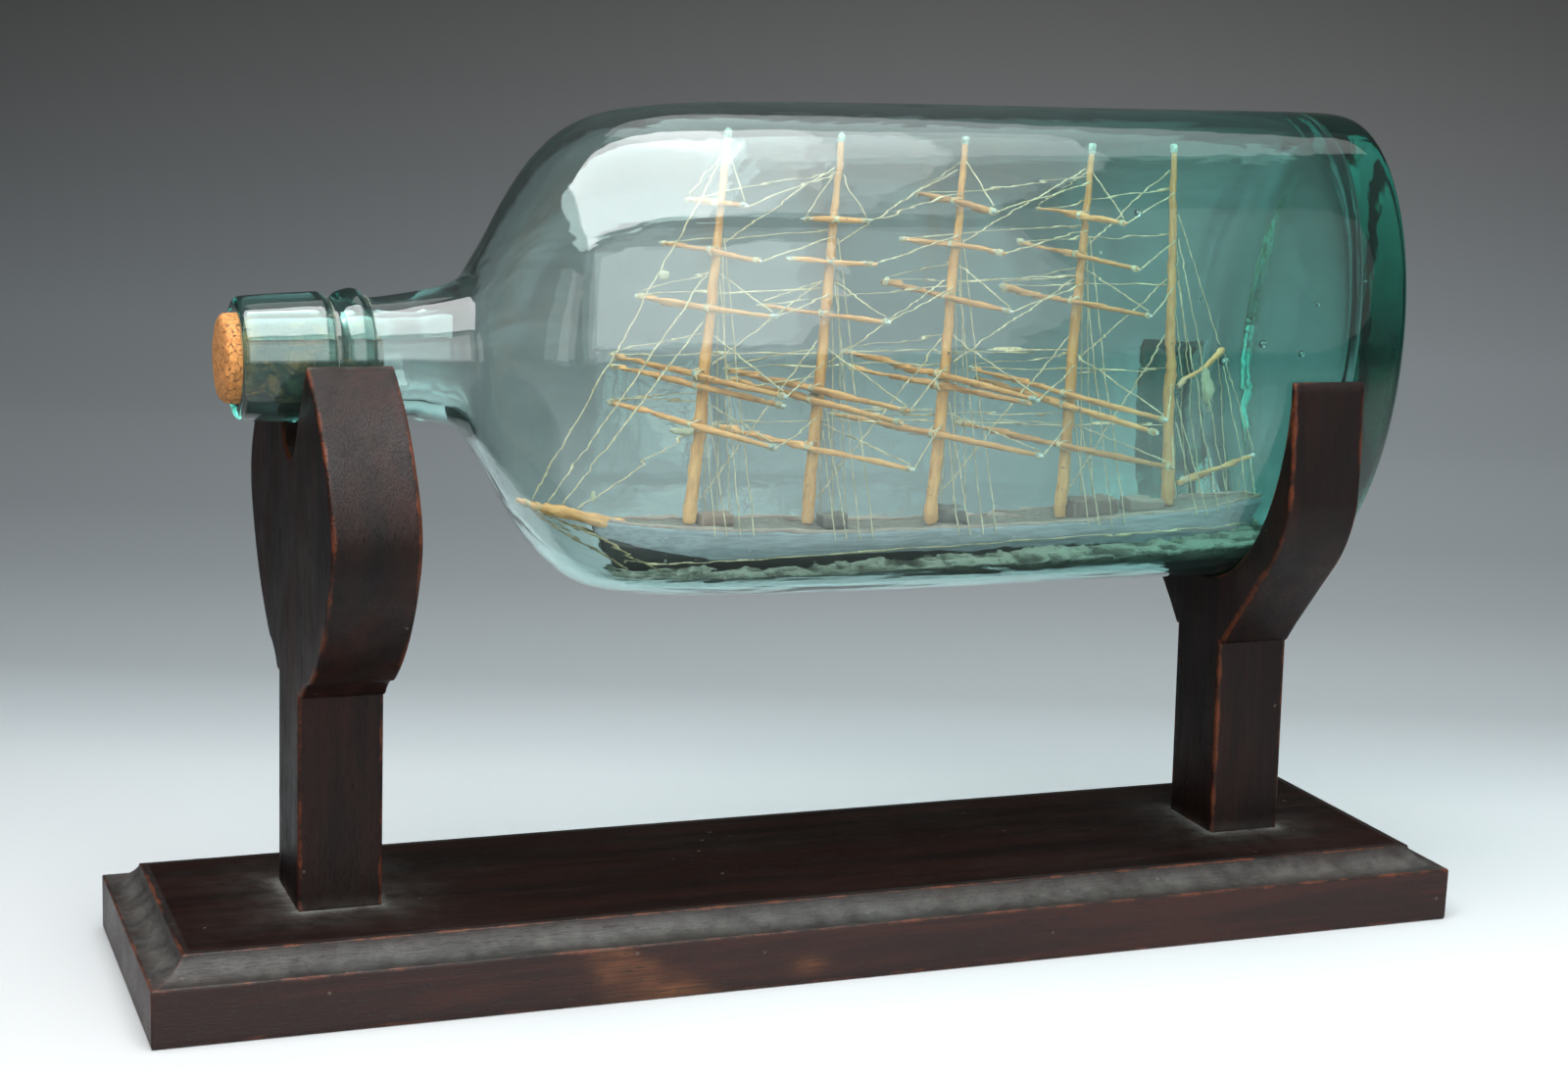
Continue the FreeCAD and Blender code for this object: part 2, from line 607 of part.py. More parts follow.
def spars():
    trucks = []
    for mast, (foot_x, head_x, head_z) in MASTS.items():
        foot = mast_point(mast, sheer(foot_x) + 0.1)
        head = V(head_x, 0, head_z)
        finish(spar(mast + "_pole", foot, head, "mast_foot_r", "mast_top_r"), mast + "_mast")
        bead = doc.addObject("Part::Sphere", mast + "_bead")
        bind(bead, Radius="truck_r")
        up = (head - foot).normalize()
        moved(bead, head + up * (value("truck_r") + 0.02))
        trucks.append(bead)
    group = doc.addObject("Part::Compound", "mast_beads")
    group.Links = trucks
    finish(group, "mast_trucks")
    for mast in YARDS:
        for level in LEVELS:
            far, near, radius = yard_line(mast, level)
            middle = (far + near) * 0.5
            thin = "light_yard_end_r" if level in LIGHT else "yard_end_r"
            thick = "light_yard_r" if level in LIGHT else "yard_r"
            name = "%s_%s" % (mast, level)
            arms = [spar(name + "_far", middle, far, thick, thin),
                    spar(name + "_near", middle, near, thick, thin)]
            finish(combine("Part::MultiFuse", name + "_spar", arms[0], arms[1:]), name + "_yard")
    throat = mast_point("jigger", 154.5) + V(mast_radius("jigger", 154.5) + 1.0, 0, 0)
    finish(spar("gaff_spar", throat, V(128, 0, 165.6), "gaff_r", "gaff_r"), "spanker_gaff")
    gooseneck = mast_point("jigger", 126.8) + V(mast_radius("jigger", 126.8) + 1.1, 0, 0)
    finish(spar("boom_spar", gooseneck, V(141.2, 0, 134.6), "boom_r", "boom_r"), "spanker_boom")


# ---------------------------------------------------------------- rigging

def thread(start, end, radius):
    """One tight thread, as the solid of a round line between two points."""
    way = end - start
    return Part.makeCylinder(radius, way.Length, start, way)


def rigging(label, lines, word="thread_r"):
    """A named set of tight threads."""
    feature = doc.addObject("Part::Feature", label + "_threads")
    feature.Shape = Part.makeCompound([thread(a, b, value(word)) for a, b in lines])
    moved(feature, V(0, 0, 0))
    finish(feature, label)


def beside(mast, z, dx, dy):
    """Point just off a mast's skin, towards (dx, dy)."""
    off = mast_radius(mast, z) + value("thread_r") + value("thread_gap")
    return mast_point(mast, z) + V(dx, dy, 0).normalize() * off


def rail_point(x, side):
    """Point on the hull's outside just under the rail."""
    return V(x, side * (breadth(x) + 0.85), sheer(x) - 1.6)


def rail_top(x, side):
    """Point just above the rail."""
    inset = value("rail_inset") + value("rail_wide") / 2
    return V(x, side * (breadth(x) - inset), sheer(x) + value("rail_high") + value("thread_gap"))


# fore stays: height on the fore mast, x where each meets the bowsprit
FORE_STAYS = ((218.5, -79.5), (188.5, -75.5), (175.5, -71.5), (146.0, -67.5))
# stays between masts: start height on the mast, end height on the mast ahead
STAYS = ((217.5, 196.5), (186.5, 163.5), (170.0, 126.0))
# how far above its yard a lift or a brace meets the mast
LIFT_RISE = {"royal": 12, "lower_topgallant": 9, "upper_topsail": 11, "course": 6}
BRACE_RISE = {"royal": 7, "topgallant": 5, "lower_topgallant": 4, "upper_topsail": 4, "course": 3}
# shrouds: start height, run aft at the rail
SHROUDS = ((145.0, 4.5), (152.0, 8.0), (186.0, 12.0), (198.0, 16.0))


def bowsprit_top(x):
    """Point on top of the bowsprit at x."""
    x0, z0 = value("bowsprit_heel_x"), value("bowsprit_heel_z")
    x1, z1 = value("bowsprit_tip_x"), value("bowsprit_tip_z")
    t = (x - x0) / (x1 - x0)
    radius = value("bowsprit_heel_r") + (value("bowsprit_tip_r") - value("bowsprit_heel_r")) * t
    return V(x, 0, z0 + (z1 - z0) * t + radius * 1.06 + value("thread_r") + 0.12)


def yard_arms(mast, level):
    """Both arms of a yard: the end, the way back towards the middle, and the side it is on."""
    far, near, radius = yard_line(mast, level)
    inward = (near - far).normalize()
    return (far, inward, 1), (near, inward * -1, -1)


def free_height(mast, z):
    """First height from z upwards on a mast that is clear of its yards and of the heads of its lifts."""
    taken = []
    for level, yard in zip(LEVELS, YARDS.get(mast, ())):
        taken.append((yard[0], 2.6))
        if level in LIFT_RISE:
            taken.append((yard[0] + LIFT_RISE[level], 1.0))
    while any(abs(z - height) < room for height, room in taken):
        z += 0.3
    return z


def rig():
    order = list(MASTS)
    stays = []
    for z, x in FORE_STAYS:
        stays.append((bowsprit_top(x), beside("fore", z, -1, 0)))
    for ahead, mast in zip(order, order[1:]):
        for high, low in STAYS:
            stays.append((beside(ahead, low, 1, 0), beside(mast, high, -1, 0)))
    rigging("fore_and_aft_stays", stays)
    for mast in order:
        lines = []
        for side in (-1, 1):
            for z, aft in SHROUDS:
                foot = rail_point(MASTS[mast][0] + aft, side)
                lines.append((beside(mast, z, 0.9, side * 0.5), foot))
        rigging(mast + "_shrouds", lines)
    lifts, braces = [], []
    for mast in YARDS:
        behind = order[order.index(mast) + 1]
        for level in LEVELS:
            for end, inward, side in yard_arms(mast, level):
                if level in LIFT_RISE:
                    z = YARDS[mast][LEVELS.index(level)][0] + LIFT_RISE[level]
                    start = end + inward * 1.5 + V(0, 0, value("yard_r") + value("thread_r") + 0.1)
                    lifts.append((start, beside(mast, z, -inward.x, -inward.y)))
                swung = YARDS[mast][LEVELS.index(level)][2] > 60
                if level != "lower_topsail" and not (swung and side > 0):
                    z = free_height(behind, end.z + BRACE_RISE[level])
                    aft = V(-inward.y, inward.x, 0) * side
                    start = end + inward * 0.8 + aft * (value("yard_end_r") + value("thread_r") + 0.12)
                    braces.append((start, beside(behind, z, -0.1, side)))
    rigging("yard_lifts", lifts)
    rigging("yard_braces", braces)
    bobs = []
    for side in (-1, 1):
        for x, back in ((-81.5, -55.5), (-78.5, -47.5)):
            start = V(x, side * 1.9, bowsprit_top(x).z - 2.6)
            bobs.append((start, V(back, side * (breadth(back) + 0.95), 108.6 + (back + 55) * 0.05)))
    rigging("bobstays", bobs, "stout_thread_r")
    peak = V(128, 0, 165.6)
    vangs = [(mast_point("jigger", 205) + V(mast_radius("jigger", 205) + 0.5, 0, 0),
              peak + V(-1.2, 0, 1.2)),
             (V(127.2, -1.2, 163.6), rail_top(136, -1)), (V(127.2, 1.2, 163.6), rail_top(136, 1)),
             (V(139.0, -1.3, 133.6), rail_top(139.5, -1)), (V(139.0, 1.3, 133.6), rail_top(139.5, 1)),
             (V(128.4, 0, 164.0), V(140.6, 0, 135.9))]
    rigging("spanker_rigging", vangs)
    lines = []
    for side in (-1, 1):
        corners = (-56.5, -45, -34, -20, 10, 55, 90, 111, 125, 136)
        for a, b in zip(corners, corners[1:]):
            ends = []
            for x in (a + 0.15, b - 0.15):
                out = breadth(x) + value("thread_r") + 0.32
                ends.append(V(x, side * out, 112.6 + 0.025 * (x - 30)))
            lines.append(tuple(ends))
    rigging("hull_line", lines)
    flag = doc.addObject("Part::Box", "ensign_cloth")
    bind(flag, Length="ensign_wide", Width="ensign_thick", Height="ensign_long")
    moved(flag, V(122.6, -2.4, 149.6), FreeCAD.Rotation(V(0, 1, 0), -14))
    finish(flag, "ensign")


stand()
bottle()
carved_hull = hull()
houses(carved_hull)
sea(carved_hull)
spars()
rig()
doc.recompute()

for feature in doc.Objects:
    if "Invalid" in feature.State or "Error" in feature.State:
        raise RuntimeError("broken feature %s: %s" % (feature.Name, feature.State))
os.makedirs("parts", exist_ok=True)
for label, feature in nodes.items():
    shape = feature.Shape
    if shape.isNull() or not shape.isValid():
        raise RuntimeError("bad shape %s" % label)
    shape.exportStep(os.path.join("parts", label + ".step"))
    box = shape.BoundBox
    print("%-26s %9.1f mm3  solids %2d  x %.1f..%.1f  y %.1f..%.1f  z %.1f..%.1f" % (
        label, shape.Volume, len(shape.Solids), box.XMin, box.XMax, box.YMin, box.YMax,
        box.ZMin, box.ZMax))
print(len(nodes), "nodes")
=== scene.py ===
import math

import bpy
import numpy as np
from mathutils import Matrix, Vector, geometry


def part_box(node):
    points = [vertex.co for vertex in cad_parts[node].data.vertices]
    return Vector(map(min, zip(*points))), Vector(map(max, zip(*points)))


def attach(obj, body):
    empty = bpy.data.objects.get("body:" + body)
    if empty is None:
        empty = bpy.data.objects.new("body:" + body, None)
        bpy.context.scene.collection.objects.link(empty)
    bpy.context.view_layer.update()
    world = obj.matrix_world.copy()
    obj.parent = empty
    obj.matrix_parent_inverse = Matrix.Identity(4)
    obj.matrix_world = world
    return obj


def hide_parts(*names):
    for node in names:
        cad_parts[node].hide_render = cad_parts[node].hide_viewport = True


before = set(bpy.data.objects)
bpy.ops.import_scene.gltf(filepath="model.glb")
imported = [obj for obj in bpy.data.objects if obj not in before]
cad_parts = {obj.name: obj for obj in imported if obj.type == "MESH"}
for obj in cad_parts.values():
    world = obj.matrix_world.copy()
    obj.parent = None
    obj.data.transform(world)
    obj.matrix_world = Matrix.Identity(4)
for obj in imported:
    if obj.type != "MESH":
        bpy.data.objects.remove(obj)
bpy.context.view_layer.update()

# A five-masted ship carved in wood inside an aqua glass bottle, on a dark two-post stand.
# Shapes are worked out in millimetres and set down in metres.

MM = 0.001


# ---------------------------------------------------------------- shapes

class Shell:
    """Points in millimetres, quads and triangles between them, and a UV for each face corner."""

    def __init__(self, points, quads, tris, quad_uv, tri_uv, marks=None):
        self.points = points
        self.quads = quads
        self.tris = tris
        self.quad_uv = quad_uv
        self.tri_uv = tri_uv
        self.marks = marks or {}


def skin(rings, marks=None, closed=False, along=None):
    """Skin through rings of points, an array (rings, sides, 3).

    Each ring joins on itself.  The two end rings are closed by fans to their own middles, unless the
    row of rings joins on itself too.  U runs round a ring from 0 to 1, V is the distance along in
    millimetres.  Marks are one number per ring point.
    """
    n, m = rings.shape[:2]
    middles = rings.mean(axis=1)
    if along is None:
        steps = np.linalg.norm(np.diff(middles, axis=0), axis=1)
        along = np.concatenate([[0], np.cumsum(steps)])
    points = rings.reshape(-1, 3)
    rows = np.arange(n if closed else n - 1)
    i, j = np.meshgrid(rows, np.arange(m), indexing="ij")
    after, beside = (i + 1) % n, (j + 1) % m
    quads = np.stack([i * m + j, i * m + beside, after * m + beside, after * m + j], axis=-1).reshape(-1, 4)
    u0, u1 = j / m, (j + 1) / m
    v0 = along[i]
    v1 = np.where(i + 1 < n, along[np.minimum(i + 1, n - 1)], along[-1] + 1.0)
    quad_uv = np.stack([np.stack([u0, v0], -1), np.stack([u1, v0], -1),
                        np.stack([u1, v1], -1), np.stack([u0, v1], -1)], axis=-2).reshape(-1, 4, 2)
    marks = {word: np.asarray(values, float).reshape(-1) for word, values in (marks or {}).items()}
    if closed:
        return Shell(points, quads, np.zeros((0, 3), int), quad_uv, np.zeros((0, 3, 2)), marks)
    first, last = n * m, n * m + 1
    points = np.concatenate([points, middles[:1], middles[-1:]])
    j = np.arange(m)
    k = (j + 1) % m
    start = np.stack([k, j, np.full(m, first)], axis=-1)
    end = np.stack([(n - 1) * m + j, (n - 1) * m + k, np.full(m, last)], axis=-1)
    tri_uv = np.zeros((2 * m, 3, 2))
    tri_uv[:, :, 0] = np.tile(np.stack([j / m, (j + 1) / m, (j + 0.5) / m], -1), (2, 1))
    tri_uv[m:, :, 1] = along[-1]
    for word, values in marks.items():
        grid = values.reshape(n, m)
        marks[word] = np.concatenate([values, [grid[0].mean(), grid[-1].mean()]])
    return Shell(points, quads, np.concatenate([start, end]), quad_uv, tri_uv, marks)


def gather(shells):
    """Several shells as one."""
    shells = list(shells)
    offsets = np.cumsum([0] + [len(s.points) for s in shells[:-1]])
    words = shells[0].marks.keys()
    return Shell(np.concatenate([s.points for s in shells]),
                 np.concatenate([s.quads + o for s, o in zip(shells, offsets)]),
                 np.concatenate([s.tris + o for s, o in zip(shells, offsets)]),
                 np.concatenate([s.quad_uv for s in shells]),
                 np.concatenate([s.tri_uv for s in shells]),
                 {w: np.concatenate([s.marks[w] for s in shells]) for w in words})


def turned_out(shell):
    """The shell with its faces turned outward, judged by its signed volume."""
    p = shell.points
    faces = np.concatenate([shell.quads[:, :3], shell.quads[:, [0, 2, 3]], shell.tris])
    volume = np.einsum("ij,ij->i", p[faces[:, 0]], np.cross(p[faces[:, 1]], p[faces[:, 2]])).sum()
    if volume < 0:
        shell.quads = shell.quads[:, ::-1]
        shell.tris = shell.tris[:, ::-1]
        shell.quad_uv = shell.quad_uv[:, ::-1]
        shell.tri_uv = shell.tri_uv[:, ::-1]
    return shell


def piece(name, shell, material, body, stands_for=()):
    """Set a shell down, turned outward, as a mesh object that rides on a body."""
    shell = turned_out(shell)
    mesh = bpy.data.meshes.new(name)
    nq, nt = len(shell.quads), len(shell.tris)
    mesh.vertices.add(len(shell.points))
    mesh.vertices.foreach_set("co", (shell.points * MM).astype(np.float32).ravel())
    corners = np.concatenate([shell.quads.ravel(), shell.tris.ravel()]).astype(np.int32)
    mesh.loops.add(len(corners))
    mesh.loops.foreach_set("vertex_index", corners)
    mesh.polygons.add(nq + nt)
    starts = np.concatenate([np.arange(nq) * 4, nq * 4 + np.arange(nt) * 3]).astype(np.int32)
    mesh.polygons.foreach_set("loop_start", starts)
    mesh.update(calc_edges=True)
    uv = np.concatenate([shell.quad_uv.reshape(-1, 2), shell.tri_uv.reshape(-1, 2)])
    mesh.uv_layers.new(name="UVMap").uv.foreach_set("vector", uv.astype(np.float32).ravel())
    for word, values in shell.marks.items():
        mark = mesh.attributes.new(word, "FLOAT", "POINT")
        mark.data.foreach_set("value", values.astype(np.float32))
    mesh.polygons.foreach_set("use_smooth", np.full(nq + nt, True))
    mesh.materials.append(material)
    mesh.validate()
    made = bpy.data.objects.new(name, mesh)
    bpy.context.scene.collection.objects.link(made)
    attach(made, body)
    if stands_for:
        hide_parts(*stands_for)


def unit(v):
    """Vectors scaled to length one."""
    return v / np.maximum(np.linalg.norm(v, axis=-1, keepdims=True), 1e-9)


def across(way):
    """Two unit vectors square to a way and to each other."""
    side = np.cross(way, [0.0, 0.0, 1.0] if abs(way[2]) < 0.9 else [0.0, 1.0, 0.0])
    side = unit(side)
    return side, np.cross(way, side)


def around(sides):
    """Evenly spaced angles once round a circle, starting at 0."""
    return np.arange(sides) / sides * 2 * np.pi


def swept(path, radii, sides, marks=None, closed=False, lobes=None):
    """Round tube along a path: ring points are path + r (cos a * side + sin a * up).

    Lobes, an array (rings, sides), multiplies the radius round each ring.
    """
    if closed:
        ways = unit(np.roll(path, -1, 0) - np.roll(path, 1, 0))
        normal = unit(np.cross(path[0] - path.mean(0), path[len(path) // 4] - path.mean(0)))
        sides_v = unit(np.cross(ways, normal))
        ups_v = np.broadcast_to(normal, ways.shape)
    else:
        ways = unit(np.gradient(path, axis=0))
        up = across(unit(path[-1] - path[0]))[1]
        sides_v = unit(np.cross(ways, np.broadcast_to(up, ways.shape)))
        ups_v = np.cross(sides_v, ways)
    a = around(sides)
    r = np.broadcast_to(np.asarray(radii, float).reshape(-1, 1), (len(path), sides))
    if lobes is not None:
        r = r * lobes
    rings = (path[:, None, :] + (r * np.cos(a))[:, :, None] * sides_v[:, None, :]
             + (r * np.sin(a))[:, :, None] * ups_v[:, None, :])
    if marks is not None:
        marks = {w: np.repeat(np.asarray(v, float), sides) for w, v in marks.items()}
    return skin(rings, marks, closed)


def ripple(x, y, seed, size=64):
    """Smooth random height from -1 to 1: random lattice values blended by 3t^2 - 2t^3."""
    table = np.random.default_rng(seed).random((size, size))
    x, y = np.broadcast_arrays(np.asarray(x, float), np.asarray(y, float))
    i, j = np.floor(x).astype(int), np.floor(y).astype(int)
    u, v = x - i, y - j
    u, v = u * u * (3 - 2 * u), v * v * (3 - 2 * v)
    i0, i1, j0, j1 = i % size, (i + 1) % size, j % size, (j + 1) % size
    low = table[i0, j0] * (1 - u) + table[i1, j0] * u
    high = table[i0, j1] * (1 - u) + table[i1, j1] * u
    return (low * (1 - v) + high * v) * 2 - 1


def smooth_row(points, steps):
    """Curve through a row of points: each stretch is a cubic whose slopes lean on the two neighbours."""
    p = np.concatenate([[2 * points[0] - points[1]], points, [2 * points[-1] - points[-2]]])
    t = (np.arange(steps) / steps)[None, :, None]
    a, b, c, d = (p[k:len(p) - 3 + k][:, None, :] for k in range(4))
    curve = 0.5 * (2 * b + (c - a) * t + (2 * a - 5 * b + 4 * c - d) * t ** 2
                   + (3 * b - a - 3 * c + d) * t ** 3)
    return np.concatenate([curve.reshape(-1, points.shape[1]), points[-1:]])


def rounded_row(points, rounds):
    """Open row of points with its corners cut at a quarter and three quarters of each side."""
    for _ in range(rounds):
        a, b = points[:-1], points[1:]
        cut = np.stack([a * 0.75 + b * 0.25, a * 0.25 + b * 0.75], axis=1).reshape(-1, points.shape[1])
        points = np.concatenate([points[:1], cut, points[-1:]])
    return points


def arc(a, b, radius, side, count):
    """Points along an arc from a towards b, b left out; side +1 bulges to the left of the way."""
    a, b = np.array(a, float), np.array(b, float)
    chord = b - a
    length = np.hypot(*chord)
    left = np.array([-chord[1], chord[0]]) / length
    centre = (a + b) / 2 - left * side * math.sqrt(max(radius ** 2 - length ** 2 / 4, 0))
    a0, a1 = math.atan2(*(a - centre)[::-1]), math.atan2(*(b - centre)[::-1])
    swing = (a1 - a0 + math.pi) % (2 * math.pi) - math.pi
    angles = a0 + swing * np.arange(count) / count
    return centre + radius * np.stack([np.cos(angles), np.sin(angles)], axis=-1)


# ---------------------------------------------------------------- shader building

def node(tree, kind, inputs=None, **settings):
    """Add a shader node; an input may be a number, a colour or another node's output."""
    made = tree.nodes.new("ShaderNode" + kind)
    for word, setting in settings.items():
        setattr(made, word, setting)
    for word, item in (inputs or {}).items():
        socket = made.inputs[word]
        if isinstance(item, bpy.types.NodeSocket):
            tree.links.new(item, socket)
        else:
            socket.default_value = item
    return made


def maths(tree, operation, a, b=0.0, clamp=False):
    """One sum on two numbers."""
    return node(tree, "Math", {0: a, 1: b}, operation=operation, use_clamp=clamp).outputs[0]


def times(tree, a, b, clamp=False):
    """Product of two numbers."""
    return maths(tree, "MULTIPLY", a, b, clamp)


def plus(tree, a, b, clamp=False):
    """Sum of two numbers."""
    return maths(tree, "ADD", a, b, clamp)


def blend(tree, share, a, b):
    """Colour a turning to colour b by a share."""
    made = node(tree, "Mix", {0: share}, data_type="RGBA")
    for socket, item in ((made.inputs[6], a), (made.inputs[7], b)):
        if isinstance(item, bpy.types.NodeSocket):
            tree.links.new(item, socket)
        else:
            socket.default_value = tuple(item) + (1.0,)
    return made.outputs[2]


def over(tree, colour, share, amount, paint):
    """Colour with a paint laid over it, by a share times an amount."""
    return blend(tree, times(tree, share, amount), colour, paint)


def ranged(tree, value, low, high, out_low=0.0, out_high=1.0):
    """A number taken from one range to another with soft ends."""
    made = node(tree, "MapRange", {"Value": value, "From Min": low, "From Max": high, "To Min": out_low,
                                   "To Max": out_high}, interpolation_type="SMOOTHSTEP")
    return made.outputs["Result"]


def noise(tree, vector, scale, detail=2.0, rough=0.5, bend=0.0):
    """Cloudy pattern at a scale."""
    made = node(tree, "TexNoise", {"Vector": vector, "Scale": scale, "Detail": detail,
                                   "Roughness": rough, "Distortion": bend})
    return made.outputs["Fac"]


def stretched(tree, vector, x, y, z):
    """A vector with each axis multiplied."""
    return node(tree, "VectorMath", {0: vector, 1: (x, y, z)}, operation="MULTIPLY").outputs[0]


def streaks(tree, vector, scales, detail, rough, bend=0.0):
    """Cloudy pattern with a scale of its own along each axis."""
    return noise(tree, stretched(tree, vector, *scales), 1.0, detail, rough, bend)


def shader_group(name, inputs, outputs):
    """An empty node group with named number, colour or vector sockets."""
    tree = bpy.data.node_groups.new(name, "ShaderNodeTree")
    kinds = {"f": "NodeSocketFloat", "v": "NodeSocketVector", "c": "NodeSocketColor"}
    for word, kind in inputs:
        tree.interface.new_socket(word, in_out="INPUT", socket_type=kinds[kind])
    for word, kind in outputs:
        tree.interface.new_socket(word, in_out="OUTPUT", socket_type=kinds[kind])
    source = tree.nodes.new("NodeGroupInput")
    sink = tree.nodes.new("NodeGroupOutput")
    return tree, source.outputs, sink.inputs


def use_group(tree, group, inputs):
    """Place a shared group in a material."""
    made = tree.nodes.new("ShaderNodeGroup")
    made.node_tree = group
    for word, item in inputs.items():
        if isinstance(item, bpy.types.NodeSocket):
            tree.links.new(item, made.inputs[word])
        else:
            made.inputs[word].default_value = item
    return made.outputs


def grain_group():
    """Wood grain for a vector in millimetres whose X runs along the fibres.

    Figure is broad bands, Fibre is fine streaks, Pores are short dark lines.
    """
    tree, source, sink = shader_group("wood_grain", [("Vector", "v")],
                                      [("Figure", "f"), ("Fibre", "f"), ("Pores", "f")])
    figure = streaks(tree, source["Vector"], (0.012, 0.16, 0.16), 3.0, 0.55, 0.6)
    tree.links.new(ranged(tree, figure, 0.34, 0.68), sink["Figure"])
    fibre = streaks(tree, source["Vector"], (0.05, 1.7, 1.7), 3.0, 0.65)
    tree.links.new(ranged(tree, fibre, 0.3, 0.72), sink["Fibre"])
    pores = streaks(tree, source["Vector"], (0.28, 3.4, 3.4), 1.0, 0.5)
    tree.links.new(ranged(tree, pores, 0.6, 0.7), sink["Pores"])
    return tree


def wear_group():
    """Broken wear along an edge: the edge mark plus cloudy noise, cut at a threshold."""
    tree, source, sink = shader_group("edge_wear", [("Edge", "f"), ("Vector", "v"), ("Amount", "f")],
                                      [("Mask", "f")])
    coarse = noise(tree, source["Vector"], 0.11, 3.0, 0.6)
    fine = noise(tree, source["Vector"], 1.3, 2.0, 0.6)
    rough = plus(tree, times(tree, coarse, 0.9), times(tree, fine, 0.35))
    total = plus(tree, times(tree, source["Edge"], source["Amount"]),
                 times(tree, maths(tree, "SUBTRACT", rough, 0.62), 2.0))
    mask = ranged(tree, total, 0.5, 1.0)
    tree.links.new(times(tree, mask, ranged(tree, source["Edge"], 0.02, 0.35)), sink["Mask"])
    return tree


def dust_group():
    """Film of dust: an amount broken up by cloudy and by fine grit noise."""
    tree, source, sink = shader_group("dust_film", [("Vector", "v"), ("Amount", "f")], [("Mask", "f")])
    cloud = noise(tree, source["Vector"], 0.16, 4.0, 0.65)
    grit = noise(tree, source["Vector"], 2.6, 2.0, 0.7)
    rough = times(tree, ranged(tree, cloud, 0.25, 0.75, 0.35, 1.25),
                  ranged(tree, grit, 0.25, 0.75, 0.55, 1.2))
    tree.links.new(times(tree, source["Amount"], rough, clamp=True), sink["Mask"])
    return tree


def fleck_group():
    """Scattered specks: cells whose random share falls under a limit, as soft dots of a given size."""
    tree, source, sink = shader_group("flecks", [("Vector", "v"), ("Scale", "f"), ("Share", "f"),
                                                 ("Size", "f")], [("Mask", "f")])
    made = node(tree, "TexVoronoi", {"Vector": source["Vector"], "Scale": source["Scale"]},
                voronoi_dimensions="3D", feature="F1")
    pick = node(tree, "SeparateColor", {0: made.outputs["Color"]}).outputs[0]
    chosen = maths(tree, "LESS_THAN", pick, source["Share"])
    near = maths(tree, "LESS_THAN", made.outputs["Distance"], source["Size"])
    tree.links.new(times(tree, chosen, near), sink["Mask"])
    return tree


GRAIN, WEAR, DUST, FLECKS = grain_group(), wear_group(), dust_group(), fleck_group()


def flecks(tree, vector, scale, share, size):
    """Mask of scattered specks."""
    return use_group(tree, FLECKS, {"Vector": vector, "Scale": scale, "Share": share, "Size": size})["Mask"]


def new_material(name):
    """A material with a Principled shader, and that shader and its tree."""
    material = bpy.data.materials.new(name)
    material.use_nodes = True
    tree = material.node_tree
    return material, tree, tree.nodes["Principled BSDF"]


def object_mm(tree):
    """Place on the object in millimetres."""
    place = node(tree, "TexCoord").outputs["Object"]
    return node(tree, "VectorMath", {0: place, 3: 1000.0}, operation="SCALE").outputs[0]


def mark(tree, word):
    """A number stored on the mesh's points."""
    return node(tree, "Attribute", attribute_name=word).outputs["Fac"]


def surfaced(tree, principled, colour, rough):
    """Feed a colour and a roughness in."""
    tree.links.new(colour, principled.inputs["Base Color"])
    tree.links.new(rough, principled.inputs["Roughness"])


def bumped(tree, principled, height, distance, strength):
    """Feed a height in as relief."""
    made = node(tree, "Bump", {"Height": height, "Distance": distance, "Strength": strength})
    tree.links.new(made.outputs["Normal"], principled.inputs["Normal"])


